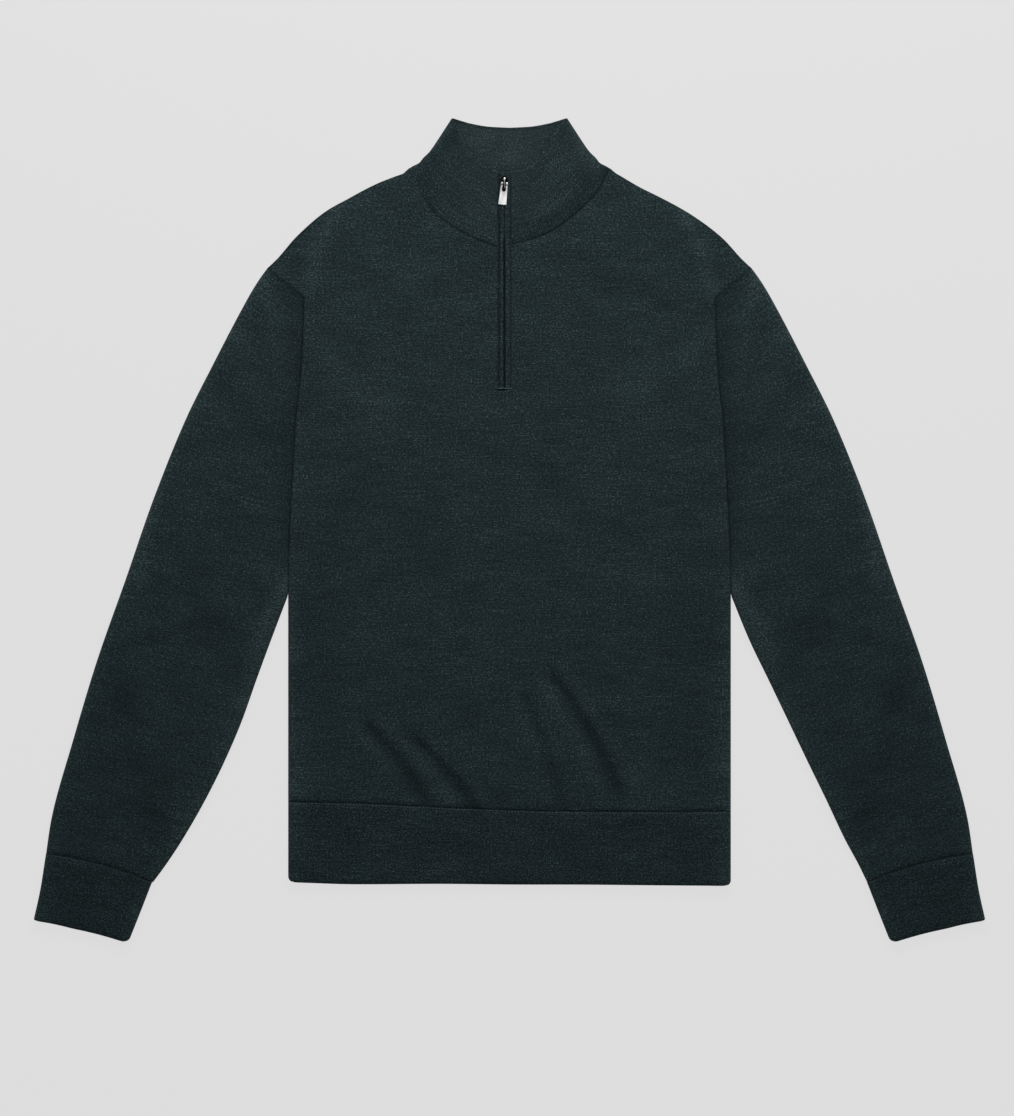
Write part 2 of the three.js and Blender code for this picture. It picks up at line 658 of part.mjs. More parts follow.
function sliderBody() {
  const { length, width, high, edge, narrow } = slider;
  const [halfLong, halfWide] = [length / 2 - edge, width / 2 - edge];
  const plan = new THREE.Shape();
  plan.moveTo(-halfWide * narrow, -halfLong);
  plan.lineTo(halfWide * narrow, -halfLong);
  plan.lineTo(halfWide, 0);
  plan.quadraticCurveTo(halfWide, halfLong, 0, halfLong);
  plan.quadraticCurveTo(-halfWide, halfLong, -halfWide, 0);
  const bevel = { bevelThickness: edge, bevelSize: edge, bevelSegments: 2 };
  const plate = new THREE.ExtrudeGeometry(plan, { depth: high - 2 * edge, curveSegments: 5, ...bevel });
  plate.translate(zipMiddle, slider.middleUp, sliderBase + edge);
  return namedMesh("slider_body", tidied(plate), darkMetal);
}

function sliderBridge() {
  const base = sliderTop + seamGap;
  const { bulbUp, bulbRadius, stem, flareFrom, flareBend, endUp, high } = bridge;
  const bulb = bulbUp - hinge.y;
  const half = stem / 2;
  const plan = new THREE.Shape();
  plan.moveTo(-half, endUp - hinge.y);
  plan.lineTo(half, endUp - hinge.y);
  plan.lineTo(half, bulb - flareFrom);
  plan.quadraticCurveTo(half, bulb - flareBend, bulbRadius, bulb);
  plan.absarc(0, bulb, bulbRadius, 0, Math.PI, false);
  plan.quadraticCurveTo(-half, bulb - flareBend, -half, bulb - flareFrom);
  const lug = new THREE.ExtrudeGeometry(plan, { depth: high, curveSegments: 6, bevelEnabled: false });
  lug.translate(0, 0, -pin.above);
  const rod = crossRod(pin.radius, pin.length, 14).rotateZ(tabTurn);
  const joined = solidOf(lug).add(solidOf(rod));
  const mesh = namedMesh("slider_bridge", geometryOf(joined), silver);
  mesh.position.set(hinge.x, hinge.y, base + pin.above);
  return mesh;
}

function pullTab() {
  const { shoulder, taper, end, topWidth, endWidth, thick, corner } = tab;
  const plan = new THREE.Shape();
  plan.moveTo(-topWidth / 2, -shoulder);
  plan.lineTo(-endWidth / 2, -end + corner);
  plan.quadraticCurveTo(-endWidth / 2, -end, -endWidth / 2 + corner, -end);
  plan.lineTo(endWidth / 2 - corner, -end);
  plan.quadraticCurveTo(endWidth / 2, -end, endWidth / 2, -end + corner);
  plan.lineTo(topWidth / 2, -shoulder);
  plan.lineTo(topWidth / 2 - taper, 0);
  plan.lineTo(tabSlot.width / 2, 0);
  plan.lineTo(tabSlot.width / 2, -tabSlot.end + tabSlot.width / 2);
  plan.absarc(0, -tabSlot.end + tabSlot.width / 2, tabSlot.width / 2, 0, -Math.PI, true);
  plan.lineTo(-tabSlot.width / 2, 0);
  plan.lineTo(-topWidth / 2 + taper, 0);
  const plate = new THREE.ExtrudeGeometry(plan, { depth: thick, curveSegments: 5, bevelEnabled: false });
  plate.translate(0, 0, -thick / 2);
  let solid = solidOf(plate);
  for (const side of [-1, 1]) {
    const middle = side * (tabSlot.width / 2 + eye.wide / 2);
    solid = solid.add(solidOf(crossRod(eye.radius, eye.wide, 16).translate(middle, 0, 0)));
  }
  solid = solid.subtract(solidOf(crossRod(eye.hole, topWidth * 2, 14)));
  return namedMesh("pull_tab", geometryOf(solid), silver);
}

// The garment, with its origin on the surface below the middle of its outline
const garment = new THREE.Group();
garment.add(back(), front(), hemBand(), collar());
for (const [word, side] of [["right", -1], ["left", 1]]) {
  garment.add(sleeve(`sleeve_${word}`, side));
  garment.add(cuff(`cuff_${word}`, side));
  garment.add(zipStrip(`zip_strip_${word}`, side));
}
garment.add(zipChain(), sliderBody(), sliderBridge());

const tabTilt = new THREE.Group();
tabTilt.position.copy(hinge);
tabTilt.rotation.set(0, 0, tabTurn);
const tabMesh = pullTab();
tabMesh.rotation.x = tabSlope;
tabTilt.add(tabMesh);
garment.add(tabTilt);

const sweater = new THREE.Group();
sweater.add(garment);
const box = new THREE.Box3().setFromObject(garment, true);
const middle = box.getCenter(new THREE.Vector3());
garment.position.set(-middle.x, -middle.y, -box.min.z);

export default sweater;
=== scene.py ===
import json
import math
import bpy
import numpy as np
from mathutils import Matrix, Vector

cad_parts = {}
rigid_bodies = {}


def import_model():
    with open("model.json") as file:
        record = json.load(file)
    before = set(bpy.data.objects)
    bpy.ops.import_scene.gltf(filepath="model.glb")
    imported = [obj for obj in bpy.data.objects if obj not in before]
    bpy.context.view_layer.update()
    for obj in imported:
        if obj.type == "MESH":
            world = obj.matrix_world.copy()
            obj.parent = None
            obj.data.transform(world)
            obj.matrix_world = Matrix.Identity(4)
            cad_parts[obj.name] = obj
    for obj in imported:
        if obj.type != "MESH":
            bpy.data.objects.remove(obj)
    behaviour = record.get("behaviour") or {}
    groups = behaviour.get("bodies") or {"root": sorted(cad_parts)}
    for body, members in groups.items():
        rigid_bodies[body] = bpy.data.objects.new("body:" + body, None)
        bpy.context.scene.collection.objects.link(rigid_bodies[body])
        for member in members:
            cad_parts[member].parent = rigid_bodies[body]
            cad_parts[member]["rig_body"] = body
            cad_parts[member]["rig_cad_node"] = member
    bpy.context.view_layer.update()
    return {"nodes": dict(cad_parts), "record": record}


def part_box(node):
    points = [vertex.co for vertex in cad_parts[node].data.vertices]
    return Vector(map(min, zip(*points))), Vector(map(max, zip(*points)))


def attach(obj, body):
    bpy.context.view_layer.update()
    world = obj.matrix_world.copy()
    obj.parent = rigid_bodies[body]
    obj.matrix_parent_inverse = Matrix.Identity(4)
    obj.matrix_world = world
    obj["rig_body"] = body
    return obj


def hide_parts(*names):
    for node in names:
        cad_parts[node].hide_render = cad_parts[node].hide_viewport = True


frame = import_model()
print("frame loaded:", len(frame["nodes"]), "nodes")

# A quarter zip sweater in fine wool, laid flat with its front up.
# Lengths below are millimetres: x across from the centre line, y up from the hem, z above the surface.
mm = 0.001
cloth = {
    "jerseyWall": 1.6,
    "bandWall": 2.4,
    "collarWall": 2.6,
    "zipGap": 0.12,       # between the zip's strips and the cloth beside them
    "tuck": 0.05,         # how far two edges go into one another at a seam, so that no light comes through
    "bodyLoft": 6.0,
    "bandLoft": 7.4,
    "collarLoft": 9.0,
    "collarBase": 6.0,
    "edgeLift": 1.2,      # how much higher the cloth springs at a folded edge
    "edgeReach": 16.0,
    "rollRadius": 3.6,    # of a folded edge
    "seamDip": 0.9,       # a soft dip along each seam
    "seamReach": 3.0,
    "crispDip": 0.45,     # and the sharper groove in it
    "crispReach": 1.1,
    "underDip": 0.5,      # the same seams on the flat underside
    "armholeRise": 1.1,   # the body stands up beside the armhole
    "armholeSink": 1.3,   # and the sleeve's cloth sinks there
    "armholeReach": 13.0,
    "cornerRound": 5.0,   # of a band's corners
    "bandEdgeDip": 0.9,   # how far a band's free edge is pressed down
    "bandEdgeReach": 1.2,
    "cuffLong": 66.0,     # from a cuff's edge to its seam
    "hemLong": 73.0,
    "cuffBow": 4.0,       # how far a cuff's seam bows towards the shoulder
    "cuffEdgeBow": 1.8,
}
# Painted light and shade in the cloth's colour: paler on fold ridges and near folded edges, where light catches,
# darker in fold troughs and creases, along seams, where the cloth turns under, beside the armhole and towards the
# cuffs
paintedLightAndTone = {
    "fold": 0.019,        # for each millimetre that a fold rises or falls
    "edge": 0.04,
    "edgeReach": 10.0,
    "edgeAtShoulder": 0.6,
    "edgeAtArmhole": 0.3,
    "turned": -0.07,      # where the cloth turns under
    "turnedReach": 0.6,
    "turnedAtShoulder": 0.8,
    "seam": -0.11,
    "seamReach": 0.85,
    "bandEdge": 0.3,      # a band's free edge, as a share of a seam
    "bandEdgeReach": 0.8,
    "armhole": -0.05,
    "armholeReach": 8.5,
    "armholeSeam": -0.045,
    "armholeSeamReach": 0.9,
    "sleeveSeamReach": 1.2,
    "slanting": 0.6,      # how much darker the slanting part of the armhole's seam is
    "cuffward": -0.016,   # the sleeves get a little darker towards their cuffs
}
halfGap = -cloth["tuck"]
body = {
    "half": 217.0,
    "neckHalf": 98.5,
    "neckUp": 702.2,
    "straightHalf": 100.0,
    "sideLow": 81.0,
    "meetsSleeve": 284.0,
    "underarm": 446.0,
    "cornerOut": 201.0,
    "cornerUp": 575.0,
    "shoulderOut": 237.5,
    "shoulderUp": 604.0,
}
zipper = {
    "middle": -5.0,
    "stripWidth": 6.7,
    "slit": 0.34,
    "bottom": 486.6,
    "top": 697.3,
    "slotFoot": 470.0,
    "wall": 1.8,
    "proud": 0.3,
    "collarFrom": 622.0,
    "collarClimb": 26.0,
    "sliderUp": 687.9,
    "stitchPitch": 2.5,
    "toothPitch": 1.3,
}
# each strip's line of stitches, how far in from its outer edge and how dark a shade is painted in its groove,
# its paler middle, and the tab's painted shadow
stripLook = {
    -1: {"stitchIn": 1.7, "groove": -0.11, "grooveReach": 1.1, "pale": 0.03, "paleAt": 1.5, "worn": 0.04},
    1: {"stitchIn": 1.0, "groove": -0.05, "grooveReach": 0.7, "pale": 0.015, "paleAt": 2.3, "worn": 0.015},
}
# a little paler overall, painted shade beside the slit, and the painted shadow below the tab
stripTone = {"whole": 0.014, "slit": -0.06, "slitReach": 0.4, "paleReach": 0.8, "wornUp": 655, "wornReach": 9}
slotHalf = zipper["stripWidth"] + zipper["slit"] / 2 + cloth["zipGap"]
slotRight = zipper["middle"] - slotHalf
slotLeft = zipper["middle"] + slotHalf
sliderLow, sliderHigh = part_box("slider_body")
hemToOrigin = zipper["sliderUp"] - (sliderLow.y + sliderHigh.y) / 2 / mm


def curveThrough(xs, ys, corners=()):
    # a smooth curve through a table's rows with no overshoot, and a sharp turn at each corner
    x, y = np.array(xs, float), np.array(ys, float)
    if x[0] > x[-1]:
        x, y = x[::-1], y[::-1]
    step = np.diff(x)
    slope = np.diff(y) / step
    leave, arrive = slope.copy(), slope.copy()
    for i in range(1, len(step)):
        before, after = slope[i - 1], slope[i]
        if any(abs(x[i] - corner) < 1e-6 for corner in corners):
            continue
        shared = 2 * before * after / (before + after) if before * after > 0 else 0.0
        arrive[i - 1] = leave[i] = shared

    def at(value):
        value = np.clip(value, x[0], x[-1])
        i = np.clip(np.searchsorted(x, value, side="right") - 1, 0, len(step) - 1)
        t = (value - x[i]) / step[i]
        rise = y[i + 1] - y[i]
        a = leave[i] * step[i] - rise
        b = rise - arrive[i] * step[i]
        return y[i] + rise * t + t * (1 - t) * (a * (1 - t) + b * t)

    return at


def smoothStep(value, low, high):
    t = np.clip((value - low) / (high - low), 0, 1)
    return t * t * (3 - 2 * t)


# The outline, seam by seam
sideOut = curveThrough(
    [body["sideLow"], body["meetsSleeve"], body["underarm"], 512, body["cornerUp"], body["shoulderUp"]],
    [body["half"], body["half"], 210, 203.5, body["cornerOut"], body["shoulderOut"]],
    corners=[body["cornerUp"]],
)
sideRollAbove = curveThrough(
    [body["underarm"], 485, body["cornerUp"], body["shoulderUp"]],
    [1, 0.42, 0.34, 0.2],
)
shoulderSteps = [98.5, 103, 111, 127, 142, 158, 180, 208.3, 228.8, body["shoulderOut"]]
shoulderRows = {
    -1: [702.2, 697.6, 694.6, 688.4, 681.2, 672.4, 660, 635.8, 612.2, body["shoulderUp"]],
    1: [702.2, 698.2, 693.4, 684.0, 676.5, 668.3, 655.5, 634.2, 612.0, body["shoulderUp"]],
}
shoulderUps = {side: curveThrough(shoulderSteps, row) for side, row in shoulderRows.items()}


def shoulderUp(x):
    return np.where(x < 0, shoulderUps[-1](np.abs(x)), shoulderUps[1](np.abs(x)))


frontNeckUp = curveThrough(
    [-98.5, -92.6, -83, -71, -53, -34, slotRight, slotLeft, 15.5, 35, 54, 74, 89, 98.5],
    [702.2, 690, 671, 656, 643.4, 633.6, 624.8, 627.6, 630.8, 637.5, 649.3, 666, 683, 702.2],
    corners=[slotRight, slotLeft],
)
backNeckUp = curveThrough([0, 40, 66, 86, 98.5], [672, 674.5, 681, 690.5, 702.2])
collarSide = curveThrough(
    [702.2, 704.6, 707.2, 712.5, 718, 729.6, 741.4, 750],
    [98.5, 94.5, 89, 84.5, 78.8, 70.5, 62.7, 57],
)
collarCorner = {"out": 57.0, "up": 750.0}
collarFrontTop = curveThrough(
    [-57, -51.5, -42.6, -34.8, -25, slotRight, slotLeft, 20, 30, 38, 44, 57],
    [750, 739.4, 721.8, 711, 703, 697.3, 697.3, 702, 711.5, 724.5, 736, 750],
    corners=[slotRight, slotLeft],
)
collarBackTop = curveThrough([0, 19.5, 38, 50, 57], [740.9, 741.9, 745, 748.4, 750.7])
sleeveOuter = curveThrough(
    [30, 63, 142, 220, 298, 377, 455, 514, 573, 588, 598, 604],
    [454.5, 449.5, 427.8, 404.3, 376.8, 349.4, 318, 288.6, 257.6, 248.8, 242, body["shoulderOut"]],
)
innerUps = [2, 20, 44, 83, 122, 161, 200, 240, body["meetsSleeve"]]
sleeveInner = {
    -1: curveThrough(innerUps, [349.6, 336.4, 320.6, 298.2, 278.8, 262.2, 248.4, 233.7, 217]),
    1: curveThrough(innerUps, [350.8, 342, 329, 310.6, 291.6, 273, 254.3, 235, 217]),
}
cuffSteps = [0, 0.5, 1]
cuffEdge = {
    "outer": (curveThrough(cuffSteps, [466.7, 460, 454.5]), curveThrough(cuffSteps, [-35.5, -5, 30])),
    "inner": (curveThrough(cuffSteps, [373.3, 360.6, 350.5]), curveThrough(cuffSteps, [-56, -24, 2])),
}
hemLow = curveThrough([-217, -150, -58, 50, 150, 217], [2.5, 0.5, 1.2, 0.6, -0.6, -1.2])
hemSeam = curveThrough([-217, -150, -58, 50, 150, 217], [80.8, 79.3, 75, 71.5, 71, 71.5])

# The folds that hands leave when the garment is laid out: where each runs, how wide and high or deep it is,
# how far it bends aside and how much one of its slopes is the steeper
foldColumns = ("fromX", "fromUp", "toX", "toUp", "wide", "rise", "bend", "lean")
foldRows = [
    (-135, 151, -83, 84, 6.2, -2.7, -1.5, 0.3),
    (-145, 142, -98, 76, 8, 1.0, -2, 0),
    (-114, 146, -60, 82, 6.5, 1.3, -2, 0),
    (-87, 136, -37, 78, 6.2, -2.7, -2.5, 0.3),
    (-22, 96, -8, 80, 6, -1.3, 0, 0),
    (18, 178, 51, 82, 6, -1.6, -1, 0.2),
    (6, 178, 36, 84, 7, 0.8, -1, 0),
    (46, 199, 104, 98, 6.8, -2.9, -3.3, 0.4),
    (33, 190, 90, 90, 8, 1.4, -3, 0),
    (60, 202, 118, 98, 8, 0.9, -3, 0),
    (176, 290, 178, 140, 22, -0.5, 0, 0),
    (-186, 300, -188, 180, 16, -0.5, 0, 0),
    (-170, 656, -198, 582, 8, 1.9, 3, 0),
    (170, 654, 198, 582, 8, 1.8, -3, 0),
    (-206, 640, -213, 602, 11, -0.9, 0, 0),
    (206, 640, 213, 602, 11, -0.9, 0, 0),
    (-196, 540, -120, 470, 16, 1.2, 5, 0),
    (196, 540, 118, 480, 16, 1.2, -5, 0),
    (-347, 382, -360, 296, 5, 1.7, 3, 0),
    (343, 390, 358, 298, 5, 1.7, -3, 0),
    (-222, 292, -262, 186, 7, 1.6, 5, 0),
    (226, 286, 262, 208, 7, 1.6, -5, 0),
    (-292, 500, -232, 430, 11, -1.1, 4, 0),
    (292, 500, 232, 430, 11, -1.1, -4, 0),
    (-240, 590, -222, 520, 9, 0.9, 4, 0),
    (240, 590, 222, 520, 9, 0.9, -4, 0),
    (232, 372, 286, 396, 5, 0.7, 3, 0),
    (-232, 362, -280, 390, 5, 0.6, -3, 0),
    (-160, 566, -72, 569, 3, 0.45, 1, 0),
    (-120, 600, -40, 560, 14, 0.4, 4, 0),
    (60, 600, 130, 575, 14, -0.4, 4, 0),
    (-180, 330, -40, 318, 13, -0.4, 5, 0),
    (30, 300, 180, 322, 15, 0.4, 5, 0),
    (-170, 236, -60, 250, 12, 0.5, -4, 0),
    (80, 262, 190, 240, 13, -0.5, 4, 0),
    (168, 130, 204, 92, 9, -0.7, 2, 0),
    (-366, 236, -300, 252, 10, -0.8, 3, 0),
    (366, 228, 302, 246, 10, -0.8, 3, 0),
    (-392, 140, -330, 152, 9, 0.6, 2, 0),
    (396, 150, 338, 160, 9, 0.6, 2, 0),
    (-330, 330, -262, 214, 16, -1.1, 6, 0),
    (330, 330, 266, 214, 16, -1.1, -6, 0),
    (-384, 210, -352, 60, 15, -1.0, 0, 0),
    (384, 210, 352, 60, 15, -1.0, 0, 0),
]
collarFoldRows = [
    (-52, 733, -84, 690, 6.5, -1.2, 2, 0),
    (-86, 686, -74, 664, 6, -0.6, 0, 0),
    (95, 701, 64, 661, 6, -1.2, 1, 0),
    (62, 658, 22, 641, 7, -0.5, 2, 0),
    (-54, 747, -46, 729, 2.4, 1.3, 0, 0),
    (55, 748, 44, 733, 2.6, 1.2, 0, 0),
    (-40, 690, -24, 655, 14, 0.5, 2, 0),
    (40, 700, 30, 660, 14, 0.5, 2, 0),
]
# Patches of the cloth painted a little darker or paler, those beside the armholes as shade: place, reach and how
# much
toneColumns = ("x", "up", "wide", "high", "shift")
toneRows = [
    (-206, 545, 20, 62, -0.022),
    (206, 545, 20, 62, -0.025),
    (-162, 225, 24, 105, -0.014),
    (162, 240, 24, 95, -0.006),
    (-284, 138, 14, 44, 0.02),
    (284, 138, 14, 44, 0.008),
    (-320, 64, 16, 34, 0.022),
    (-402, 136, 22, 52, -0.015),
    (402, 136, 22, 52, -0.016),
    (-444, 42, 16, 40, -0.016),
    (444, 42, 16, 40, -0.018),
    (-206, 96, 16, 62, 0.018),
    (206, 110, 16, 50, 0.012),
    (0, 18, 230, 26, 0.009),
    (-118, 104, 22, 18, -0.012),
    (132, 488, 22, 34, 0.012),
]
folds = [dict(zip(foldColumns, row)) for row in foldRows]
tonePlaces = [dict(zip(toneColumns, row)) for row in toneRows]
collarFolds = [dict(zip(foldColumns, row)) for row in collarFoldRows]
unevenness = [  # slow waves of cloth laid by hand: lengths across and up, heights and starts
    {"across": 74, "up": 96, "high": 0.5, "start": 0.6},
    {"across": 23, "up": -31, "high": 0.12, "start": 1.9},
    {"across": -13, "up": 17, "high": 0.07, "start": 4.1},
]


def foldsAt(table, x, y):
    height = np.zeros(np.broadcast(x, y).shape)
    for fold in table:
        dx, dy = fold["toX"] - fold["fromX"], fold["toUp"] - fold["fromUp"]
        length = math.hypot(dx, dy)
        reach = ((x - fold["fromX"]) * dx + (y - fold["fromUp"]) * dy) / length
        aside = ((x - fold["fromX"]) * dy - (y - fold["fromUp"]) * dx) / length
        part = np.clip(reach / length, 0, 1)
        aside = aside - fold["bend"] * 4 * part * (1 - part)
        wide = fold["wide"] * (0.75 + 0.5 * part) * (1 + fold["lean"] * np.tanh(aside / fold["wide"]))
        past = np.maximum(0, np.maximum(-reach, reach - length)) / (2 * fold["wide"])
        height += fold["rise"] * np.exp(-((aside / wide) ** 2) - past ** 2)
    return height


def lie(x, y):
    height = cloth["bodyLoft"] + foldsAt(folds, x, y)
    first = unevenness[0]
    height += first["high"] * np.sin(x / first["across"] + first["start"]) * np.sin(y / first["up"] + 0.3)
    for wave in unevenness[1:]:
        height += wave["high"] * np.sin(x / wave["across"] + y / wave["up"] + wave["start"])
    return height


def bell(distance, reach):
    return np.exp(-((distance / reach) ** 2))


def wornAt(x, y):
    return sum(
        at["shift"] * bell(x - at["x"], at["wide"]) * bell(y - at["up"], at["high"])
        for at in tonePlaces
    )


def neckSeamShows(x):
    # the collar's seam is crisp in front, deepest on the wearer's left, and fades up the right shoulder
    return 1 - 0.85 * smoothStep(-x, 76, 90) + 0.5 * smoothStep(x, 12, 30) * (1 - smoothStep(x, 55, 85))


def edgeLift(distance):
    return cloth["edgeLift"] * bell(distance, cloth["edgeReach"])


def seamDip(distance, softness=1.0):
    soft = softness * cloth["seamDip"] * bell(distance, cloth["seamReach"])
    return soft + cloth["crispDip"] * bell(distance, cloth["crispReach"])


def underDip(distance):
    return cloth["underDip"] * bell(distance, cloth["crispReach"])


def inset(angle, roll, wall, outer):
    start = 0 if outer else roll * wall
    return start + (cloth["rollRadius"] - start) * (1 - np.cos(np.radians(angle)))


def slopeOf(edgeAt, x, inward):
    # the angle at which an edge runs, over a short step
    step = 0.5
    return np.arctan(np.abs(edgeAt(x + inward * step) - edgeAt(x)) / step)


def rolledOver(angle, roll):
    return roll * (1 - np.sin(np.radians(angle)))


def layerHeight(height, drop, wall, outer, lower, dipBelow):
    skin = 0 if outer else wall
    rolled = skin + (height / 2 - skin) * drop
    return np.where(lower, rolled + dipBelow * (1 - drop), height - rolled)


rimTurns = [45, 90, 135]  # the round of a soft edge, in degrees from the outer face to the inner


def clothWall(name, outer, inner, places, closed=False, flip=False, openCell=None,
              softFirst=False, softLast=False, insideOwn=False, tone=None, insideTone=None):
    # A closed wall between two grids of points, with its place in the cloth (across and along the knit)
    # as a UV map. Cells named by openCell are left out, and each free edge gets a rim. insideOwn gives the
    # inner face a material of its own, and tone says how much paler or darker each point is painted, mostly light
    # and shade.
    rows, columns = outer.shape[:2]
    cells = columns if closed else columns - 1
    points = [outer.reshape(-1, 3), inner.reshape(-1, 3)]
    extraStart = 2 * rows * columns
    rims = {}
    for wanted, row, nextRow in ((softFirst, 0, 1), (softLast, rows - 1, rows - 2)):
        if not wanted:
            continue
        middle = (outer[row] + inner[row]) / 2
        half = (outer[row] - inner[row]) / 2
        away = middle - (outer[nextRow] + inner[nextRow]) / 2
        away *= (np.linalg.norm(half, axis=1) / np.linalg.norm(away, axis=1))[:, None]
        rims[row] = extraStart
        for turn in rimTurns:
            angle = math.radians(turn)
            points.append(middle + half * math.cos(angle) + away * math.sin(angle))
            extraStart += columns

    def outerAt(row, column):
        return row * columns + column % columns

    def innerAt(row, column):
        return (rows + row) * columns + column % columns

    present = np.ones((rows - 1, cells), bool)
    if openCell:
        for row in range(rows - 1):
            for column in range(cells):
                present[row, column] = not openCell(row, column)
    faces, uvs, insides = [], [], []

    def addFace(corners, at):
        insides.append(int(corners[0] >= rows * columns))
        if flip:
            corners, at = corners[::-1], at[::-1]
        faces.append(corners)
        uvs.extend(places[r, c] for r, c in at)

    def addRim(p, q):
        soft = rims.get(p[0]) if p[0] == q[0] else None
        if soft is None:
            addFace([outerAt(*q), outerAt(*p), innerAt(*p), innerAt(*q)], [q, p, p, q])
            return
        lineP, lineQ = [
            [outerAt(*end), *(soft + k * columns + end[1] % columns for k in range(len(rimTurns))), innerAt(*end)]
            for end in (p, q)
        ]
        for k in range(len(lineP) - 1):
            addFace([lineQ[k], lineP[k], lineP[k + 1], lineQ[k + 1]], [q, p, p, q])

    for row in range(rows - 1):
        for column in range(cells):
            if not present[row, column]:
                continue
            a, b = (row, column), (row, column + 1)
            c, d = (row + 1, column + 1), (row + 1, column)
            addFace([outerAt(*a), outerAt(*b), outerAt(*c), outerAt(*d)], [a, b, c, d])
            addFace([innerAt(*a), innerAt(*d), innerAt(*c), innerAt(*b)], [a, d, c, b])
            if row == 0 or not present[row - 1, column]:
                addRim(a, b)
            if row == rows - 2 or not present[row + 1, column]:
                addRim(c, d)
            before = (column - 1) % cells if closed else column - 1
            after = (column + 1) % cells if closed else column + 1
            if before < 0 or not present[row, before]:
                addRim(d, a)
            if after >= cells or not present[row, after]:
                addRim(b, c)
    if not closed:  # the ends of a soft rim
        for row, soft in rims.items():
            for column, turned in ((0, row != 0), (columns - 1, row == 0)):
                line = [outerAt(row, column)] + [soft + k * columns + column for k in range(len(rimTurns))]
                line.append(innerAt(row, column))
                if not turned:
                    line.reverse()
                addFace(line, [(row, column)] * len(line))

    mesh = bpy.data.meshes.new(name)
    every = np.concatenate(points)
    every[:, 1] -= hemToOrigin
    used = np.unique(np.concatenate([np.array(face) for face in faces]))
    renumbered = np.full(len(every), -1)
    renumbered[used] = np.arange(len(used))
    mesh.from_pydata((every[used] * mm).tolist(), [], [renumbered[face].tolist() for face in faces])
    plain = np.zeros(rows * columns)
    tones = np.zeros(len(every))
    tones[:rows * columns] = plain if tone is None else np.broadcast_to(tone, (rows, columns)).ravel()
    tones[rows * columns:2 * rows * columns] = plain if insideTone is None else insideTone.ravel()
    # this attribute holds the painted light and shade, with the tone patches, that the cloth's colour takes up
    mesh.attributes.new("paintedLightAndTone", "FLOAT", "POINT").data.foreach_set("value", tones[used])
    layer = mesh.uv_layers.new(name="knit")
    layer.data.foreach_set("uv", (np.array(uvs) * mm).ravel())
    if insideOwn:
        mesh.polygons.foreach_set("material_index", insides)
    mesh.validate()
    piece = linked(name, mesh)
    shadeSmooth(piece, 40)
    print("made", name, "with", len(faces), "faces")
    return piece


def linked(name, data):
    piece = bpy.data.objects.new(name, data)
    bpy.context.scene.collection.objects.link(piece)
    return piece


def editAll():
    bpy.ops.object.mode_set(mode="EDIT")
    bpy.ops.mesh.select_all(action="SELECT")


def pick(piece):
    bpy.ops.object.select_all(action="DESELECT")
    piece.select_set(True)
    bpy.context.view_layer.objects.active = piece


def shadeSmooth(piece, degrees):
    pick(piece)
    bpy.ops.object.shade_smooth_by_angle(angle=math.radians(degrees))


def denser(low, high, count, ends=0.0):
    # places from low to high, closer together towards both ends as ends goes from 0 to 1
    t = np.linspace(0, 1, count)
    return low + (high - low) * ((1 - ends) * t + ends * (1 - np.cos(np.pi * t)) / 2)


def joinPlaces(*stretches):
    return np.unique(np.round(np.concatenate([np.atleast_1d(s) for s in stretches]), 4))


# Front and back
rollAngles = np.array([2.4, 14, 28, 42, 56, 72, 90])
topAngles = rollAngles[:-1][::-1]
panelHalf = 207  # the outermost column before the side rolls over
seamRows = np.array([0, 0.6, 1.2, 2, 3, 4.2, 6])
shoulderSeamRows = np.array([10, 8, 6, 4.4, 3.2, 2.2, 1.4, 0.7])


def bodyColumns(across):
    side = np.concatenate([-np.ones(len(rollAngles)), np.zeros(len(across)), np.ones(len(rollAngles))])
    x = np.concatenate([np.zeros(len(rollAngles)), across, np.zeros(len(rollAngles))])
    angle = np.concatenate([rollAngles, np.full(len(across), 90.0), rollAngles[::-1]])
    return side, x, angle


def spread(x, out):
    near = smoothStep(np.abs(x), body["straightHalf"], body["half"] - cloth["rollRadius"])
    return x + np.sign(x) * near * (out - body["half"])


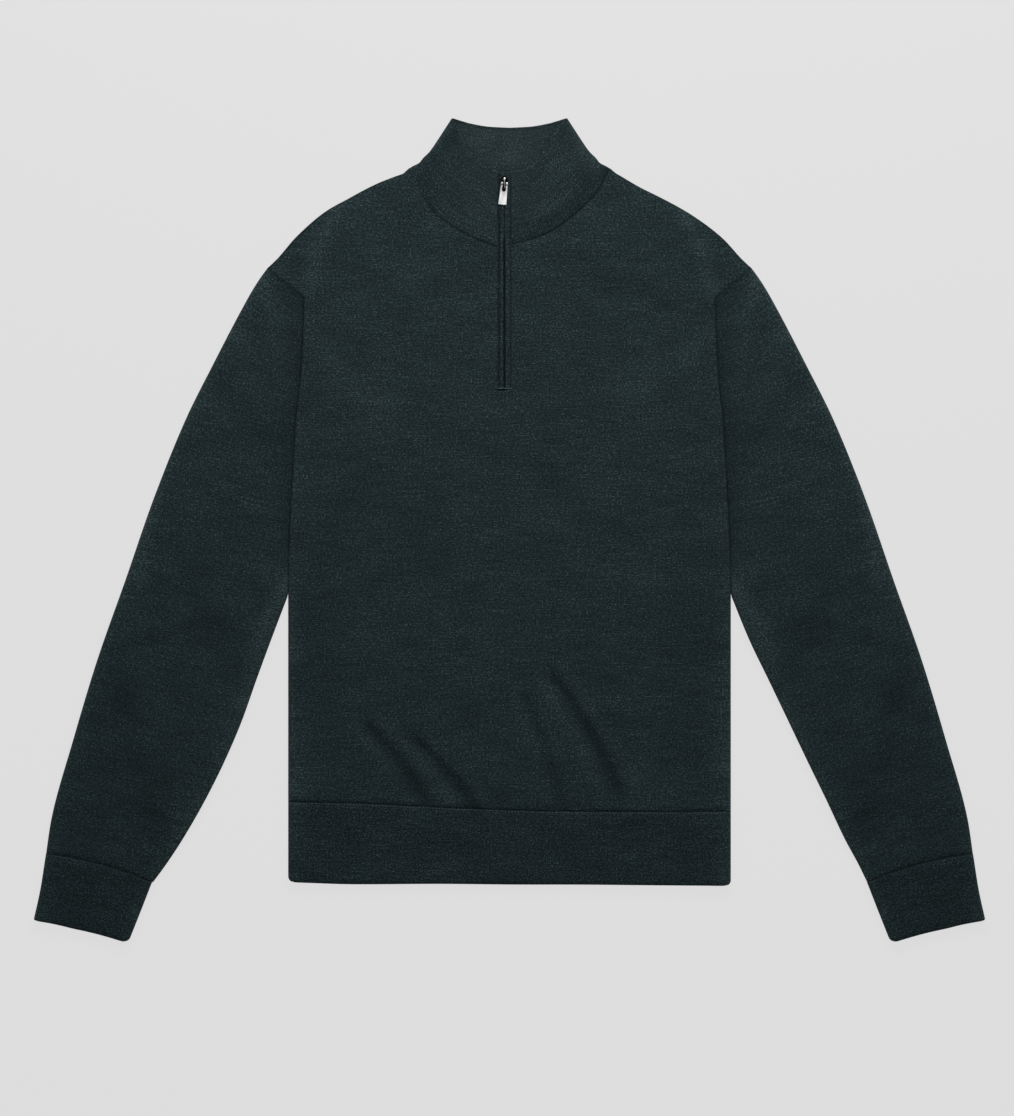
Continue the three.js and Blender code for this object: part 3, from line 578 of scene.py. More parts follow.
def bodyPoints(columns, ups, neckUp, wall, outer, lower):
    side, across, angle = [np.asarray(value)[None, :] for value in columns]
    up = np.concatenate([ups, np.full(len(topAngles), body["shoulderUp"])])[:, None]
    topAngle = np.concatenate([np.full(len(ups), 90.0), topAngles])[:, None]
    atTop = up >= body["shoulderUp"] - 1e-6
    share = (up - body["sideLow"]) / (body["shoulderUp"] - body["sideLow"])
    sideInset = inset(angle, 1, wall, True)
    topX = np.where(side != 0, side * (body["shoulderOut"] - sideInset), spread(across, body["shoulderOut"]))
    onShoulder = np.abs(topX) >= body["neckHalf"] - 1e-6

    def edgeAt(x):
        return np.where(onShoulder, shoulderUp(x), neckUp(x))

    steep = slopeOf(edgeAt, topX, np.where(onShoulder, -np.sign(topX), 1.0))
    topRoll = onShoulder * 1.0
    back = np.where(atTop, inset(topAngle, topRoll, wall, outer) / np.cos(steep), 0.0)
    sideUp = up - back
    out = sideOut(sideUp) - halfGap
    roll = np.where(sideUp < body["underarm"], 1.0, sideRollAbove(sideUp))
    x = np.where(side != 0, side * (out - inset(angle, roll, wall, outer)), spread(across, out))
    low = hemSeam(x) + halfGap
    high = edgeAt(topX) - np.where(onShoulder, 0, halfGap / np.cos(steep))
    y = low + (high - low) * share - back
    fromTop = (high - y) * np.cos(steep)
    dips = seamDip(y - low) + np.where(onShoulder, 0, seamDip(fromTop, 0.35))
    fromSide = out - np.abs(x)
    armhole = smoothStep(up, body["meetsSleeve"] - 10, body["meetsSleeve"] + 40)
    armholeFlat = smoothStep(up, body["cornerUp"] - 8, body["cornerUp"] + 4)
    beside = armhole * np.exp(-fromSide / cloth["armholeReach"]) * cloth["armholeRise"]
    beside = beside * (1 - 0.85 * armholeFlat)
    height = lie(x, y) + edgeLift(fromSide) * roll * (1 - armhole) + beside
    height = height + edgeLift(fromTop) * topRoll - dips
    # painted shade along the hem and neck seams, where the sides turn under and along the armhole's seam; painted
    # highlight near the folded sides and shoulders; painted light and shade on the folds
    atNeck = np.where(onShoulder, 0, bell(fromTop, paintedLightAndTone["seamReach"])) * neckSeamShows(x)
    alongSeam = bell(y - low, paintedLightAndTone["seamReach"]) + atNeck
    atShoulder = onShoulder * bell(fromTop, paintedLightAndTone["edgeReach"]) * paintedLightAndTone["edgeAtShoulder"]
    atEdge = bell(fromSide, paintedLightAndTone["edgeReach"]) * (1 - (1 - paintedLightAndTone["edgeAtArmhole"]) * armhole) + atShoulder
    tone = paintedLightAndTone["fold"] * foldsAt(folds, x, y) + paintedLightAndTone["edge"] * atEdge + paintedLightAndTone["seam"] * alongSeam + wornAt(x, y)
    turnedSide = bell(fromSide, paintedLightAndTone["turnedReach"]) * (1 - armhole)
    tone = tone + paintedLightAndTone["turned"] * (turnedSide + onShoulder * bell(fromTop, paintedLightAndTone["turnedAtShoulder"]))
    atArmhole = armhole * bell(fromSide, paintedLightAndTone["armholeSeamReach"]) * (1 + paintedLightAndTone["slanting"] * armholeFlat)
    tone = tone + paintedLightAndTone["armholeSeam"] * atArmhole
    sideDrop = np.where(side != 0, rolledOver(angle, roll), 0)
    drop = np.maximum(sideDrop, np.where(atTop, rolledOver(topAngle, topRoll), 0))
    below = underDip(y - low) + np.where(onShoulder, 0, underDip(fromTop))
    z = layerHeight(height, drop, wall, outer, lower, below)
    return np.stack([x, y, z], axis=-1), tone


def bodyPanel(name, across, ups, neckUp, lower, openCell=None):
    columns = bodyColumns(across)
    wall = cloth["jerseyWall"]
    outer, tone = bodyPoints(columns, ups, neckUp, wall, True, lower)
    inner = bodyPoints(columns, ups, neckUp, wall, False, lower)[0]
    return clothWall(name, outer, inner, outer[..., :2], flip=lower, openCell=openCell, tone=tone)


def makeFront():
    near = joinPlaces(
        denser(-panelHalf, -body["neckHalf"], 38),
        denser(-body["neckHalf"], slotRight, 42),
        denser(slotLeft, body["neckHalf"], 44),
        denser(body["neckHalf"], panelHalf, 38),
    )
    ups = joinPlaces(
        body["sideLow"] + seamRows,
        denser(body["sideLow"] + 8, 210, 48),
        denser(214, 462, 64),
        zipper["slotFoot"],
        denser(474, body["shoulderUp"] - 12, 36),
        body["shoulderUp"] - shoulderSeamRows,
    )
    slotColumn = len(rollAngles) + int(np.argmin(np.abs(near - slotRight)))
    slotRow = int(np.argmin(np.abs(ups - zipper["slotFoot"])))

    def openCell(row, column):
        return column == slotColumn and row >= slotRow

    return bodyPanel("frontPanel", near, ups, frontNeckUp, False, openCell)


def makeBack():
    near = joinPlaces(
        denser(-panelHalf, -body["neckHalf"], 20),
        denser(-body["neckHalf"], body["neckHalf"], 41, 0.3),
        denser(body["neckHalf"], panelHalf, 20),
    )
    ups = joinPlaces(
        body["sideLow"] + seamRows,
        denser(body["sideLow"] + 10, body["shoulderUp"] - 12, 84),
        body["shoulderUp"] - shoulderSeamRows,
    )
    return bodyPanel("backPanel", near, ups, lambda x: backNeckUp(np.abs(x)), True)


# Flattened tubes: sleeves, cuffs and hem band
turnAngles = np.array([90, 72, 56, 40, 26, 13, 0, -13, -26, -40, -56, -72, -90])


def tubeColumns(parts, seam):
    # edge "a" is where the tube's seam runs and "b" is the fold across from it
    start = rollAngles if seam else np.concatenate([[0], rollAngles[1:]])
    end = start if seam else start[1:]
    flat = [""] * len(parts)
    kind = ["a"] * len(start) + flat + ["b"] * len(turnAngles) + flat + ["a"] * len(end)
    angle = np.concatenate([start, parts * 0 + 90, turnAngles, parts * 0 + 90, -end[::-1]])
    part = np.concatenate([start * 0, parts, turnAngles * 0, parts[::-1], end * 0])
    lower = np.concatenate([start < 0, parts < 0, turnAngles < 0, parts > 0, end > -1])
    return {"kind": np.array(kind), "angle": angle, "part": part, "lower": lower}


def tubePoints(columns, section, wall, outer):
    a, b = np.array(section["a"]), np.array(section["b"])
    width = math.hypot(*(b - a))
    atB, onEdge = columns["kind"] == "b", columns["kind"] != ""
    roll = np.where(atB, section.get("rollB", 1.0), section.get("rollA", 1.0))
    angle = np.abs(columns["angle"])
    distance = np.where(onEdge, inset(angle, roll, wall, outer), columns["part"] * width)
    part = np.where(atB, 1 - distance / width, distance / width)
    x = a[0] + (b[0] - a[0]) * part
    y = a[1] + (b[1] - a[1]) * part + section.get("bow", 0) * 4 * part * (1 - part)
    if "yAt" in section:
        y = section["yAt"](x)
    fromA, fromB = part * width, (1 - part) * width
    beside = section.get("armhole", 0.0)
    lifts = edgeLift(fromA) * section.get("rollA", 1.0) * (1 - beside) + edgeLift(fromB)
    lifts = lifts - beside * cloth["armholeSink"] * np.exp(-fromA / cloth["armholeReach"])
    height = section["loft"] + lie(x, y) - cloth["bodyLoft"] + lifts - section["seam"]
    drop = np.where(onEdge, rolledOver(angle, roll), 0)
    z = layerHeight(height, drop, wall, outer, columns["lower"], section["under"])
    # painted highlight near the folded edges; painted shade along the seams, where the cloth turns under and
    # beside the armhole; painted light and shade on the folds; painted shade growing towards the cuffs
    atEdge = bell(fromA, paintedLightAndTone["edgeReach"]) * (1 - beside) + bell(fromB, paintedLightAndTone["edgeReach"])
    tone = paintedLightAndTone["fold"] * foldsAt(folds, x, y) + paintedLightAndTone["edge"] * atEdge + paintedLightAndTone["seam"] * section["atSeam"]
    tone = tone + wornAt(x, y)
    reach = paintedLightAndTone["turnedReach"]
    tone = tone + paintedLightAndTone["turned"] * (bell(fromA, reach) * (1 - beside) + bell(fromB, reach))
    atArmhole = paintedLightAndTone["armhole"] * np.exp(-fromA / paintedLightAndTone["armholeReach"])
    atArmhole = atArmhole + paintedLightAndTone["armholeSeam"] * bell(fromA, paintedLightAndTone["sleeveSeamReach"])
    tone = tone + beside * atArmhole + paintedLightAndTone["cuffward"] * section["cuffward"]
    return np.stack([x, y, z], axis=-1), tone


def tubePlaces(outer):
    # how far round the tube and how far along it each point lies, with the first column again at the end
    ring = np.concatenate([outer, outer[:, :1]], axis=1)
    around = np.cumsum(np.linalg.norm(np.diff(ring, axis=1), axis=2), axis=1)
    around = np.concatenate([np.zeros((len(outer), 1)), around], axis=1)
    around -= around[:, [outer.shape[1] // 2]]
    middle = (ring[:, [ring.shape[1] // 4]] + ring[:, [3 * ring.shape[1] // 4]]) / 2
    steps = np.linalg.norm(np.diff(middle[:, 0, :2], axis=0), axis=1)
    along = np.concatenate([[0], np.cumsum(steps)])[:, None]
    return np.stack([around, np.broadcast_to(along, around.shape)], axis=-1)


def tube(name, columns, sections, wall, flip=False, alongRows=None, **rest):
    rings = [tubePoints(columns, row, wall, True) for row in sections]
    outer, tone = [np.array(part) for part in zip(*rings)]
    inner = np.array([tubePoints(columns, row, wall, False)[0] for row in sections])
    places = tubePlaces(outer)
    if alongRows is not None:
        places[..., 1] = alongRows[:, None]
    return clothWall(name, outer, inner, places, closed=True, flip=flip, tone=tone, **rest)


def makeSleeve(name, side):
    columns = tubeColumns(denser(0.07, 0.93, 26), True)
    ups = joinPlaces(
        2 + seamRows,
        denser(10, 440, 104),
        body["underarm"],
        denser(450, body["cornerUp"], 34),
    )
    bowReach = 0.125  # the share of the sleeve's length over which the cuff's bow dies away
    sections = []
    for up in ups:
        share = (up - ups[0]) / (ups[-1] - ups[0])
        outerUp = 30 + (body["shoulderUp"] - 30) * share
        innerOut = sideOut(up) if up > body["meetsSleeve"] else sleeveInner[side](up)
        drawn = (halfGap if up == ups[-1] else 0) - (halfGap if up == ups[0] else 0)
        # the sleeve is pressed against the body above the place where they meet
        pressed = 0.25 * float(smoothStep(up, body["meetsSleeve"], body["meetsSleeve"] + 20))
        sections.append({
            "a": (side * (float(innerOut) + halfGap - pressed), up - drawn),
            "b": (side * (float(sleeveOuter(outerUp)) + halfGap), outerUp - drawn),
            "bow": cloth["cuffBow"] * max(0, 1 - share / bowReach),
            "rollA": 1.0 if up < body["underarm"] else float(sideRollAbove(up)),
            "loft": cloth["bodyLoft"],
            "seam": seamDip(up - ups[0]) - 0.35 * float(bell(ups[-1] - up, 3.0)),
            "under": underDip(up - ups[0]) + underDip(ups[-1] - up),
            "armhole": float(smoothStep(up, body["meetsSleeve"] - 6, body["meetsSleeve"] + 50)),
            "atSeam": 0.25 * bell(up - ups[0], paintedLightAndTone["seamReach"]) + 0.3 * bell(up - ups[-1], 0.7),
            "cuffward": 1 - float(smoothStep(up, 60, 330)),
        })
    underarmRow = int(np.argmin(np.abs(ups - body["underarm"])))
    lastColumn = len(columns["angle"]) - 1

    def openCell(row, column):
        return column == lastColumn and row >= underarmRow

    return tube(name, columns, sections, cloth["jerseyWall"], side < 0, openCell=openCell)


bandSteps = np.array([
    0, 0.008, 0.018, 0.032, 0.06, 0.12, 0.2, 0.3, 0.4, 0.5,
    0.6, 0.7, 0.8, 0.88, 0.93, 0.96, 0.975, 0.986, 0.994, 1,
])


def cornerInset(fromEdge, share=1.0):
    # how far a band's rounded corner draws its side in, at some way from the band's edge
    radius = cloth["cornerRound"] * share
    return radius - math.sqrt(max(0, radius ** 2 - max(0, radius - fromEdge) ** 2))


def bandSection(share, long, seamShows):
    # what hem and cuffs have in common, at some share of the way from a band's edge to its seam
    fromSeam, fromEdge = (1 - share) * long, share * long
    # painted shade along the band's seam and along its free edge
    atSeam = seamShows * bell(fromSeam, paintedLightAndTone["seamReach"])
    return {
        "loft": cloth["bandLoft"],
        "atSeam": atSeam + paintedLightAndTone["bandEdge"] * bell(fromEdge, paintedLightAndTone["bandEdgeReach"]),
        "seam": seamDip(fromSeam) + cloth["bandEdgeDip"] * bell(fromEdge, cloth["bandEdgeReach"]),
        "under": underDip(fromSeam),
    }


def makeCuff(name, side):
    columns = tubeColumns(denser(0.09, 0.91, 24), False)
    long = cloth["cuffLong"]
    sections = []
    for share in bandSteps:
        ends = {}
        for edge, (outAt, upAt) in cuffEdge.items():
            drawnIn = cornerInset(share * long, 0.8) if edge == "inner" else -cornerInset(share * long, 0.5)
            atSeam = halfGap if share == 1 else 0
            ends[edge] = (side * (float(outAt(share)) + drawnIn), float(upAt(share)) - atSeam)
        sections.append({
            "a": ends["inner"],
            "b": ends["outer"],
            "bow": cloth["cuffBow"] * share ** 2 + cloth["cuffEdgeBow"] * (1 - share) ** 2,
            "cuffward": 1.0,
            **bandSection(share, long, 0.2),
        })
    return tube(name, columns, sections, cloth["bandWall"], side < 0, softFirst=True)


def makeHemBand():
    columns = tubeColumns(denser(0.02, 0.98, 110), False)
    long = cloth["hemLong"]
    sections = []
    for share in bandSteps:
        def yAt(x, share=share):
            low, high = hemLow(x), hemSeam(x) - halfGap
            return low + (high - low) * share

        drawnIn = cornerInset(share * long)
        sections.append({
            "a": (drawnIn - body["half"], 0),
            "b": (body["half"] - drawnIn, 0),
            "yAt": yAt,
            "cuffward": 0.5,
            **bandSection(share, long, 0.4),
        })
    return tube("hemBand", columns, sections, cloth["bandWall"], alongRows=bandSteps * long, softFirst=True)


# The collar: each column runs from the neck seam up to the edge
def makeCollar():
    wall, neckHalf, topOut = cloth["collarWall"], body["neckHalf"], collarCorner["out"]
    leftX = denser(slotLeft, 93, 30)
    rightX = denser(-93, slotRight, 28)
    underX = denser(90, -90, 48)
    zero = np.zeros_like
    x = np.concatenate([leftX, zero(turnAngles), underX, zero(turnAngles), rightX])[None, :]
    turn = np.ones(len(turnAngles))
    side = np.concatenate([zero(leftX) + 1, turn, zero(underX), -turn, zero(rightX) - 1])
    fold = np.concatenate([zero(leftX), turn, zero(underX), turn, zero(rightX)])
    angle = np.concatenate([zero(leftX) + 90, turnAngles, zero(underX) + 90, -turnAngles, zero(rightX) + 90])
    side, fold, angle = side[None, :], fold[None, :] > 0, angle[None, :]
    lower = np.where(fold, angle < 0, side == 0)
    steps = joinPlaces([0, 0.01, 0.02, 0.035, 0.055], denser(0.08, 0.93, 28), [0.955, 0.975, 0.99, 1])
    share = steps[:, None]
    sideEdge = collarSide(body["neckUp"] + (collarCorner["up"] - body["neckUp"]) * share)

    def points(outer):
        turned = inset(np.abs(angle), 1, wall, outer)
        low = np.where(fold, side * (neckHalf - turned), x)
        seamX = np.where(fold, side * (neckHalf - inset(np.abs(angle), 1, wall, True)), x)
        slot = np.where(side < 0, slotRight, slotLeft)
        whole = lower | (side == 0)
        part = np.where(whole, low / neckHalf, (low - slot) / (np.where(whole, 1, side) * neckHalf - slot))
        high = np.where(whole, part * topOut, slot + (side * topOut - slot) * part)

        def seamAt(value):
            return np.where(lower, backNeckUp(np.abs(value)), frontNeckUp(value))

        steep = slopeOf(seamAt, seamX, -np.sign(np.where(seamX == 0, 1, seamX)))
        base = seamAt(seamX) + halfGap / np.cos(steep)
        top = np.where(lower, collarBackTop(np.abs(high)), collarFrontTop(high))
        chord = neckHalf + (topOut - neckHalf) * share
        pull = np.abs(part) ** 2 * (sideEdge - chord) * np.sign(np.where(low == 0, 1, low))
        px = low + (high - low) * share + pull
        py = base + (top - base) * share
        climb = 0.28 + 0.3 * (1 - smoothStep(seamX, -30, 30))
        rise = smoothStep(share, 0, climb) * (cloth["collarLoft"] - cloth["collarBase"])
        away = (py - base) * np.cos(steep)
        softness = 0.25 + 0.35 * smoothStep(seamX, 10, 60)
        dips = seamDip(away, softness) * (1 - 0.5 * lower) * (0.5 + 0.5 * neckSeamShows(seamX))
        height = cloth["collarBase"] + rise + edgeLift((1 - np.abs(part)) * neckHalf) * 0.6 - dips
        height = height + 0.35 * np.sin(px / 19 + 1) * np.sin(py / 23) * share
        creases = np.where(lower, 0, foldsAt(collarFolds, px, py))
        height = height + creases
        drop = np.where(fold, rolledOver(np.abs(angle), 1), 0)
        pz = layerHeight(height, drop, wall, outer, lower, underDip(away))
        # painted shade along the neck seam, where the folds turn under and along the top edge; painted highlight
        # near the collar's sides; painted light and shade on the creases
        alongSeam = bell(away, paintedLightAndTone["seamReach"]) * paintedLightAndTone["seam"] * neckSeamShows(seamX)
        atEdge = paintedLightAndTone["edge"] * bell((1 - np.abs(part)) * neckHalf, 6.0)
        atEdge = atEdge + paintedLightAndTone["turned"] * fold * np.cos(np.radians(angle))
        rim = np.where(lower | fold, -0.09, 0.0) * bell((top - base) * (1 - share), 0.9)
        tone = alongSeam + atEdge + rim + paintedLightAndTone["fold"] * 1.2 * creases
        grid = np.stack(np.broadcast_arrays(px, py, pz), axis=-1)
        return grid, np.broadcast_to(tone, grid.shape[:2])

    outer, tone = points(True)
    inner = points(False)[0]
    # the inside of the back is darker where the front's edge shades it
    underFront = inner[..., 1] - collarFrontTop(inner[..., 0])
    # painted shade inside the back: under the front's edge, and a thin dark line along the top fold
    insideTone = -0.035 * np.exp(-np.maximum(underFront, 0) / 9.0) - 0.08 * bell((1 - share) * 66, 1.2)
    around = np.cumsum(np.linalg.norm(np.diff(outer[0], axis=0), axis=1))
    around = np.concatenate([[0], around])
    rows = np.linalg.norm(np.diff(outer, axis=0), axis=2)
    along = np.concatenate([np.zeros((1, rows.shape[1])), np.cumsum(rows, axis=0)])
    places = np.stack([np.broadcast_to(around, along.shape), along], axis=-1)
    return clothWall("collarBand", outer, inner, places, softLast=True, insideOwn=True,
                     tone=tone, insideTone=insideTone)


# The covered strips on both sides of the zip
def stripTop(y):
    onCollar = smoothStep(y, zipper["collarFrom"], zipper["collarFrom"] + zipper["collarClimb"])
    return lie(zipper["middle"], y) * (1 - onCollar) + cloth["collarLoft"] * onCollar + zipper["proud"]


def makeStrip(name, side):
    ribs, ribHigh, edgeDrop, edgeShare = 3, 0.18, 0.75, 0.055
    near = zipper["middle"] + side * zipper["slit"] / 2
    far = near + side * zipper["stripWidth"]
    part = np.array([0, 0.015, 0.04, 0.08] + list(np.linspace(0.12, 0.88, 22)) + [0.92, 0.96, 0.985, 1])
    topRows = zipper["top"] - np.array([1.2, 0.6, 0.25, 0])
    ups = joinPlaces(denser(zipper["bottom"], zipper["top"] - 2, 150), topRows)
    low, high = min(near, far), max(near, far)
    toEdge = np.minimum(part, 1 - part)
    drop = edgeDrop * bell(toEdge, edgeShare) + ribHigh * (0.5 + 0.5 * np.cos(2 * np.pi * ribs * part))
    x = (low + (high - low) * part)[None, :] + 0 * ups[:, None]
    y = ups[:, None] + 0 * x
    top = stripTop(ups)[:, None]
    outer = np.stack([x, y, top - drop[None, :]], axis=-1)
    inner = np.stack([x, y, top - zipper["wall"] + 0 * x], axis=-1)
    fromSlit = np.where(side > 0, part, 1 - part) * zipper["stripWidth"]
    look = stripLook[side]
    stitched = bell(zipper["stripWidth"] - look["stitchIn"] - fromSlit, look["grooveReach"])
    # painted shade in the stitch line's groove and beside the slit
    tone = stripTone["whole"] + look["groove"] * stitched
    tone = tone + stripTone["slit"] * bell(fromSlit, stripTone["slitReach"])
    tone = tone + look["pale"] * bell(fromSlit - look["paleAt"], stripTone["paleReach"])
    # the painted shadow of the tab on the cloth below it
    worn = look["worn"] * bell(ups - stripTone["wornUp"], stripTone["wornReach"])
    tone = tone[None, :] - worn[:, None]
    return clothWall(name, outer, inner, outer[..., :2], softLast=True, tone=tone)


panels = {
    "frontPanel": makeFront(),
    "backPanel": makeBack(),
    "sleeveRight": makeSleeve("sleeveRight", -1),
    "sleeveLeft": makeSleeve("sleeveLeft", 1),
    "hemBand": makeHemBand(),
    "cuffRight": makeCuff("cuffRight", -1),
    "cuffLeft": makeCuff("cuffLeft", 1),
    "collarBand": makeCollar(),
    "stripRight": makeStrip("stripRight", -1),
    "stripLeft": makeStrip("stripLeft", 1),
}


# Materials
def linear(hexColour):
    channels = [int(hexColour[i:i + 2], 16) / 255 for i in (1, 3, 5)]
    return [c / 12.92 if c <= 0.04045 else ((c + 0.055) / 1.055) ** 2.4 for c in channels] + [1.0]


def addNode(tree, kind, settings=None, inputs=None):
    node = tree.nodes.new(kind)
    for name, value in (settings or {}).items():
        setattr(node, name, value)
    for name, value in (inputs or {}).items():
        if isinstance(value, bpy.types.NodeSocket):
            tree.links.new(value, node.inputs[name])
        else:
            node.inputs[name].default_value = value
    return node


def calculate(tree, operation, first, second=0.0):
    return addNode(tree, "ShaderNodeMath", {"operation": operation}, {0: first, 1: second}).outputs[0]


def newMaterial(name, finish):
    material = bpy.data.materials.new(name)
    material.use_nodes = True
    tree = material.node_tree
    shader = tree.nodes["Principled BSDF"]
    for socket, value in finish.items():
        shader.inputs[socket].default_value = value
    return material, tree, shader


def objectNoise(tree, inputs, scaled=None):
    # a noise fixed to the object, drawn out where it is scaled
    place = addNode(tree, "ShaderNodeTexCoord").outputs["Object"]
    if scaled:
        place = addNode(tree, "ShaderNodeMapping", None, {"Vector": place, "Scale": scaled}).outputs[0]
    return addNode(tree, "ShaderNodeTexNoise", None, {"Vector": place, **inputs}).outputs["Fac"]


def addBump(tree, shader, strength, deep, height):
    inputs = {"Strength": strength, "Distance": deep * mm, "Height": height}
    bump = addNode(tree, "ShaderNodeBump", None, inputs)
    tree.links.new(bump.outputs[0], shader.inputs["Normal"])


def ramp(tree, factor, stops):
    node = addNode(tree, "ShaderNodeValToRGB", None, {0: factor})
    elements = node.color_ramp.elements
    while len(elements) < len(stops):
        elements.new(0.5)
    for element, (place, colour) in zip(elements, stops):
        element.position = place
        element.color = linear(colour)
    return node.outputs["Color"]


def stretched(tree, across, along, wide, long):
    # the place in the cloth, in units of wide by long millimetres
    x = calculate(tree, "MULTIPLY", across, 1 / (wide * mm))
    y = calculate(tree, "MULTIPLY", along, 1 / (long * mm))
    return addNode(tree, "ShaderNodeCombineXYZ", None, {0: x, 1: y}).outputs[0]


# How the fibre colours mix, coarse to fine, in millimetres across and along the courses
mottle = [
    {"wide": 60, "long": 24, "detail": 1.0, "share": 0.07},
    {"wide": 28, "long": 1.7, "detail": 2.0, "share": 0.17},
    {"wide": 5.0, "long": 1.25, "detail": 2.0, "share": 0.21},
    {"wide": 1.75, "long": 1.2, "detail": 1.0, "share": 0.54},
]


woolFinish = {
    "Roughness": 0.86,
    "IOR": 1.5,
    "Specular IOR Level": 0.14,
    "Sheen Weight": 0.07,
    "Sheen Roughness": 0.55,
    "Sheen Tint": linear("#b9c6c6"),
}
yarn = {
    "wander": 0.9,        # how far the wales stray, in millimetres
    "lean": 1.5,          # of a stitch's legs
    "legHigh": 0.35,
    "hairHigh": 1.6,
    "between": 0.6,       # the height at which a stitch is neither shaded nor lit
    "shaded": 0.03,
}


# Merino wool yarn in fine gauge knit: spun from dark green and grey fibres, so each stitch differs a little
# and pale flecks run along the courses. The matte fibres scatter light, with a soft bloom where seen edge on.
def woolKnit(name, colours, wale, course, ribbed=0.0, stitchDeep=0.35, mottled=1.0):
    material, tree, shader = newMaterial(name, woolFinish)

    def make(operation, first, second=0.0):
        return calculate(tree, operation, first, second)

    def flatNoise(wide, long, inputs):
        vector = stretched(tree, across, along, wide, long)
        inputs = {"Vector": vector, "Scale": 1.0, **inputs}
        return addNode(tree, "ShaderNodeTexNoise", {"noise_dimensions": "2D"}, inputs).outputs["Fac"]

    place = addNode(tree, "ShaderNodeUVMap", {"uv_map": "knit"})
    split = addNode(tree, "ShaderNodeSeparateXYZ", None, {0: place.outputs[0]})
    across, along = split.outputs[0], split.outputs[1]
    strayed = make("SUBTRACT", flatNoise(9, 6, {"Detail": 1.0}), 0.5)
    shift = make("MULTIPLY", strayed, yarn["wander"] * mm)
    across, along = make("ADD", across, shift), make("ADD", along, shift)
    # each stitch is a V: two legs that lean out from the middle of its wale
    inWale = make("FRACT", make("MULTIPLY", across, 1 / (wale * mm)))
    leg = make("ABSOLUTE", make("SUBTRACT", inWale, 0.5))
    turns = make("SUBTRACT", make("MULTIPLY", along, 1 / (course * mm)), make("MULTIPLY", leg, yarn["lean"]))
    loop = make("SINE", make("MULTIPLY", turns, 2 * math.pi))
    legRound = make("SINE", make("MULTIPLY", leg, 2 * math.pi))
    ribWave = make("COSINE", make("MULTIPLY", inWale, 2 * math.pi))
    stitch = make("ADD", make("MULTIPLY", loop, yarn["legHigh"]), legRound)
    stitch = make("SUBTRACT", stitch, make("MULTIPLY", ribWave, ribbed))
    hair = flatNoise(0.9, 0.55, {"Detail": 3.0, "Roughness": 0.7})
    addBump(tree, shader, 0.8, stitchDeep, make("ADD", stitch, make("MULTIPLY", hair, yarn["hairHigh"])))
    # the painted light and shade of the cloth, then the mixed fibres: long flecks along the courses, and a finer
    # grain from stitch to stitch
    fibresAndPaintedLight = addNode(tree, "ShaderNodeAttribute", {"attribute_name": "paintedLightAndTone"}).outputs["Fac"]
    for layer in mottle:
        noise = flatNoise(layer["wide"], layer["long"], {"Detail": layer["detail"], "Roughness": 0.6})
        fibresAndPaintedLight = make("ADD", fibresAndPaintedLight, make("MULTIPLY", make("SUBTRACT", noise, 0.5), layer["share"] * mottled))
    # painted shade in each stitch's hollows and painted light on its tops
    shade = make("MULTIPLY", make("SUBTRACT", stitch, yarn["between"]), yarn["shaded"])
    fibresAndPaintedLight = make("ADD", make("ADD", fibresAndPaintedLight, shade), 0.5)
    colour = ramp(tree, fibresAndPaintedLight, list(zip((0.30, 0.47, 0.58, 0.74), colours)))
    tree.links.new(colour, shader.inputs["Base Color"])
    return material


jerseyColours = ["#020c0e", "#172629", "#2d3f42", "#617073"]
bandColours = ["#020b0c", "#152225", "#283a3d", "#56676a"]
insideColours = ["#0a1213", "#1e2b2e", "#364649", "#6b7a7d"]
woolJersey = woolKnit("woolJersey", jerseyColours, 1.7, 1.3, mottled=0.88)
doubleKnit = woolKnit("doubleKnitWool", bandColours, 1.9, 1.4, ribbed=0.5, stitchDeep=0.3, mottled=0.88)
collarKnit = woolKnit("collarKnitWool", jerseyColours, 1.9, 1.4, ribbed=0.9, stitchDeep=0.32, mottled=0.92)
collarInside = woolKnit("collarInsideWool", insideColours, 1.5, 1.2, stitchDeep=0.25, mottled=0.85)
stripKnit = woolKnit("stripKnitWool", bandColours, 1.1, 1.1, stitchDeep=0.2)


# Gunmetal plated zinc: the slider is die cast and tumbled, so it is dark and satin with soft edges
def gunmetal():
    material, tree, shader = newMaterial("gunmetalPlatedZinc", {"Metallic": 1.0})
    noise = objectNoise(tree, {"Scale": 2500.0, "Detail": 2.0})
    rough = addNode(tree, "ShaderNodeMapRange", None, {"Value": noise, 3: 0.3, 4: 0.5})
    tree.links.new(rough.outputs[0], shader.inputs["Roughness"])
    tree.links.new(ramp(tree, noise, [(0.2, "#0d0f10"), (0.8, "#1b1e20")]), shader.inputs["Base Color"])
    return material


# Nickel plated zinc: bright, brushed along the tab, so its reflections are drawn out into fine streaks.
# Its groove, slot walls and eyes and the bridge's stem are painted dark, as shade and dark reflection
def nickel():
    material, tree, shader = newMaterial("brushedNickelPlate", {"Metallic": 1.0})
    noise = objectNoise(tree, {"Scale": 1.0, "Detail": 3.0}, (9000, 500, 9000))
    rough = addNode(tree, "ShaderNodeMapRange", None, {"Value": noise, 3: 0.3, 4: 0.42})
    tree.links.new(rough.outputs[0], shader.inputs["Roughness"])
    colour = ramp(tree, noise, [(0.25, "#e2e3e4"), (0.75, "#f2f3f3")])
    # painted shade and dark reflection: mixes the colour towards near black
    paintedShade = addNode(tree, "ShaderNodeAttribute", {"attribute_name": "paintedShade"}).outputs["Fac"]
    inputs = {0: paintedShade, 6: colour, 7: linear("#14191a")}
    aged = addNode(tree, "ShaderNodeMix", {"data_type": "RGBA"}, inputs)
    tree.links.new(aged.outputs[2], shader.inputs["Base Color"])
    addBump(tree, shader, 0.2, 0.02, noise)
    return material


